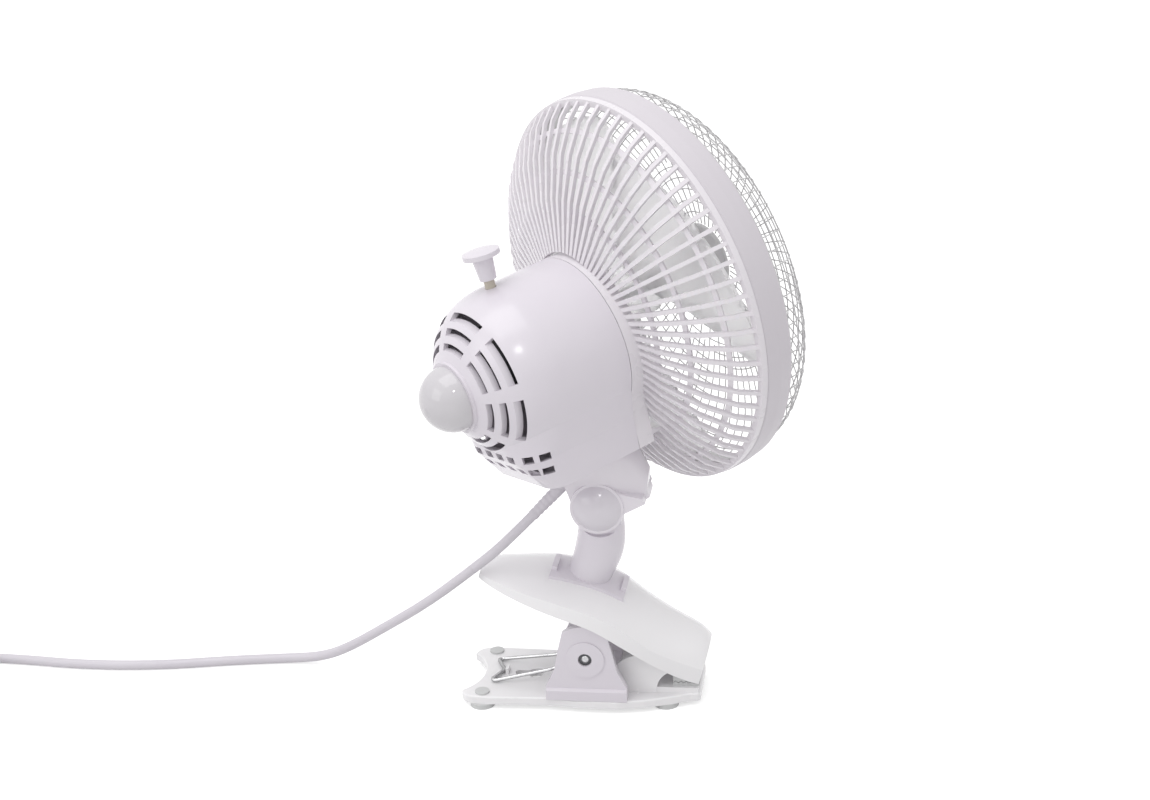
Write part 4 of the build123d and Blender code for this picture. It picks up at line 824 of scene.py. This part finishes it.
# %% The mesh as one piece
deselect()
for piece in [long_wires, short_wires, mesh_rim, disc] + rings:
    piece.select_set(True)
bpy.context.view_layer.objects.active = mesh_rim
bpy.ops.object.join()
front_mesh = bpy.context.object
front_mesh.name = "front_mesh"
front_mesh.matrix_world = HEAD_PLACE
settle(front_mesh)
# the mesh takes the grey of painted shade on its wires
dress(front_mesh, mesh_painted_shade, "head", "guard_white", "front_guard", "front_guard_rings")
print("front mesh faces", len(front_mesh.data.polygons))

# %% [markdown]
# ## The clamp's spring
# The spring is round wire of nearly two millimetres. Smooth shading alone would leave the six
# sides of the solid's wire at its outline. So a copy of the solid is merged, its triangles are
# made quads, and a subdivision surface rounds it. That draws the wire in a little, and the last
# step swells it to its real width. The straight legs have few faces and take two levels, and
# the wound part takes one.

# %% Round the wire
WIRE_SWELL, MERGE_WITHIN = 0.00012, 0.000002


def own_copy(node_name, piece_name):
    """A copy of a solid's mesh, merged, as an object of its own."""
    source = nodes[node_name]
    piece = bpy.data.objects.new(piece_name, source.data.copy())
    bpy.context.scene.collection.objects.link(piece)
    piece.matrix_world = source.matrix_world
    settle(piece)
    edit_all()
    bpy.ops.mesh.remove_doubles(threshold=MERGE_WITHIN)
    bpy.ops.mesh.tris_convert_to_quads()
    bpy.ops.object.mode_set(mode="OBJECT")
    return piece


for node_name, body, rounds in (("clamp_spring", "clamp_base", 1), ("spring_legs", "jaw", 2)):
    wire = own_copy(node_name, node_name + "_round")
    finish_with(wire, "SUBSURF", levels=rounds, render_levels=rounds)
    edit_all()
    bpy.ops.transform.shrink_fatten(value=WIRE_SWELL)
    bpy.ops.object.mode_set(mode="OBJECT")
    bpy.ops.object.shade_smooth()
    dress(wire, wire_metal, body, "spring_wire", node_name)
    print(node_name, "faces", len(wire.data.polygons))

# %% [markdown]
# ## The blades
# The three frosted blades may stand at any angle, because they spin. Seen from behind, the gap
# on the near side is open and the far one is closed, which fits blades pitched to the left, the
# other hand than the solid's. New blades could be modelled for that. A mirrored and turned copy
# of the solid keeps its sizes and is simpler. A mirror turns a mesh inside out, so the faces
# are made to point outwards again.

# %% Mirror and turn the blades
BLADE_TURN, BLADE_CREASE = math.radians(-50), 40
mirror = Matrix.Diagonal((1, -1, 1, 1))
blades = own_copy("fan_blade", "blades_turned")
blades.matrix_world = (
    HEAD_PLACE @ Matrix.Rotation(BLADE_TURN, 4, "X") @ mirror @ HEAD_PLACE.inverted()
)
settle(blades)
bpy.ops.object.mode_set(mode="EDIT")
face_outwards()
smooth_below(BLADE_CREASE)
dress(blades, frosted, "fan", "frosted_blade", "fan_blade")
print("blades turned", round(math.degrees(BLADE_TURN)), "degrees")

# %% [markdown]
# ## The pivot's ends
# The pin's ends sit in round recesses of the bracket's cheeks. The shade in each recess is
# painted with a black washer round the pin. A flat dark ring would not catch the light; the
# washer does: it makes the dark ring with a bright, slightly domed middle.

# %% Pin
PIVOT_AT = Vector((0, 0, 0.028))
PIN_END, PIN_RADIUS = 0.0248, 0.0019
DOMED_END = ((0.0, 0.45), (0.0003, 0.8), (0.0007, 1.0), (0.0030, 1.0))
pin_half = [(-PIN_END + inwards, PIN_RADIUS * share) for inwards, share in DOMED_END]
pin = extruded("pivot_pin_domed", pin_half + [(-z, r) for z, r in reversed(pin_half)])
stand_at(pin, PIVOT_AT, (0, 1, 0))
dress(pin, steel, "clamp_base", "steel", "pivot_pin")
print("pin", round(2 * PIN_END * 1000, 1), "mm long")

# %% Black washers: painted shade in the pin's recesses
SHADE_WASHER_RADIUS, RECESS_FLOOR = 0.0031, 0.0239
SHADE_WASHER_PROFILE = (
    (0.00002, SHADE_WASHER_RADIUS),
    (0.00030, SHADE_WASHER_RADIUS),
    (0.00045, SHADE_WASHER_RADIUS - 0.0003),
    (0.00035, PIN_RADIUS + 0.0002),
)
shade_washer_stations = [(RECESS_FLOOR + off_floor, radius) for off_floor, radius in SHADE_WASHER_PROFILE]
# each black washer paints the shade of a recess round the pin's end
for side in (-1, 1):
    shade_washer = extruded("painted_shade_washer", shade_washer_stations)
    stand_at(shade_washer, PIVOT_AT, (0, side, 0))
    dress(shade_washer, shade_black_steel, "clamp_base", "steel")
print("washers", SHADE_WASHER_RADIUS * 2000, "mm across")

# %% [markdown]
# ## Stage and light
# A pale table runs out of sight on every side. It has to look pure white and still keep the
# fan's shadow. More light would whiten it, but would also wash out the fan. So the table and
# the world are lifted to white only for rays that come straight from the camera or by way of a
# mirror or a clear piece, and they light the fan at a plain level. The Light Path node tells
# these rays apart.


# %% White where it is seen
def seen_directly(tree):
    """1 for camera, glossy and transmission rays, and 0 for plain light."""
    rays = tree.nodes.new("ShaderNodeLightPath")
    seen = rays.outputs["Is Camera Ray"]
    for kind in ("Is Glossy Ray", "Is Transmission Ray"):
        either = tree.nodes.new("ShaderNodeMath")
        either.operation = "MAXIMUM"
        tree.links.new(seen, either.inputs[0])
        tree.links.new(rays.outputs[kind], either.inputs[1])
        seen = either.outputs[0]
    return seen


print("white is kept for camera, glossy and transmission rays")

# %% Table
TABLE_SIZE, TABLE_GREY, TABLE_LIFT = 12.0, 0.70, 0.54
deselect()
bpy.ops.mesh.primitive_plane_add(size=TABLE_SIZE, location=(0, 0, 0))
table = bpy.context.object
table.name = "table"
table_white = bpy.data.materials.new("table white")
table_white.use_nodes = True
tree = table_white.node_tree
top = tree.nodes["Principled BSDF"]
top.inputs["Base Color"].default_value = opaque(TABLE_GREY, TABLE_GREY, TABLE_GREY)
top.inputs["Roughness"].default_value = 0.9
top.inputs["Specular IOR Level"].default_value = 0.0
lift = tree.nodes.new("ShaderNodeMath")
lift.operation = "MULTIPLY"
lift.inputs[1].default_value = TABLE_LIFT
tree.links.new(seen_directly(tree), lift.inputs[0])
glow = tree.nodes.new("ShaderNodeEmission")
glow.inputs["Color"].default_value = opaque(1, 1, 1)
tree.links.new(lift.outputs[0], glow.inputs["Strength"])
both = tree.nodes.new("ShaderNodeAddShader")
tree.links.new(top.outputs[0], both.inputs[0])
tree.links.new(glow.outputs[0], both.inputs[1])
tree.links.new(both.outputs[0], tree.nodes["Material Output"].inputs["Surface"])
table.data.materials.append(table_white)
print("table", TABLE_SIZE, "m, lifted by", TABLE_LIFT)

# %% World
WORLD_LIGHT, WHITE = 0.83, 1.0
world = bpy.data.worlds.new("studio")
bpy.context.scene.world = world
world.use_nodes = True
tree = world.node_tree
level = tree.nodes.new("ShaderNodeMapRange")
level.inputs["To Min"].default_value = WORLD_LIGHT
level.inputs["To Max"].default_value = WHITE
tree.links.new(seen_directly(tree), level.inputs["Value"])
sky = tree.nodes["Background"]
sky.inputs["Color"].default_value = opaque(1, 1, 1)
tree.links.new(level.outputs["Result"], sky.inputs["Strength"])
print("world lights at", WORLD_LIGHT, "and is seen at", WHITE)

# %% [markdown]
# Two broad soft lamps shape the fan, one above and one to the left, and a faint one on the
# right opens the shadows. Soft lamps leave no crisp glint, though, and glossy plastic needs one
# to look glossy. A small fourth lamp makes it. It is left out of the diffuse light, so it adds
# the glint on the housing and nothing else.


# %% Lamps
def lamp(name, place, target, size, power):
    """A square soft lamp that faces a point."""
    data = bpy.data.lights.new(name, "AREA")
    data.shape = "SQUARE"
    data.size = size
    data.energy = power
    body = bpy.data.objects.new(name, data)
    bpy.context.scene.collection.objects.link(body)
    body.location = place
    toward = Vector(target) - Vector(place)
    body.rotation_mode = "QUATERNION"
    body.rotation_quaternion = toward.to_track_quat("-Z", "Y")
    return body


FAN_MIDDLE = (0, 0, 0.15)
lamp("top lamp", (-0.3, -0.2, 1.7), FAN_MIDDLE, 1.2, 9.0)
lamp("left lamp", (-1.2, -1.0, 0.8), FAN_MIDDLE, 0.9, 3.4)
lamp("right lamp", (1.3, -0.9, 0.9), FAN_MIDDLE, 0.7, 0.3)
sparkle = lamp("sparkle lamp", (0.21, -0.84, 0.98), (-0.02, -0.03, 0.18), 0.10, 1.3)
sparkle.visible_diffuse = False
bpy.context.scene.view_settings.view_transform = "Standard"
print("lamps:", [round(light.energy, 2) for light in bpy.data.lights], "W")
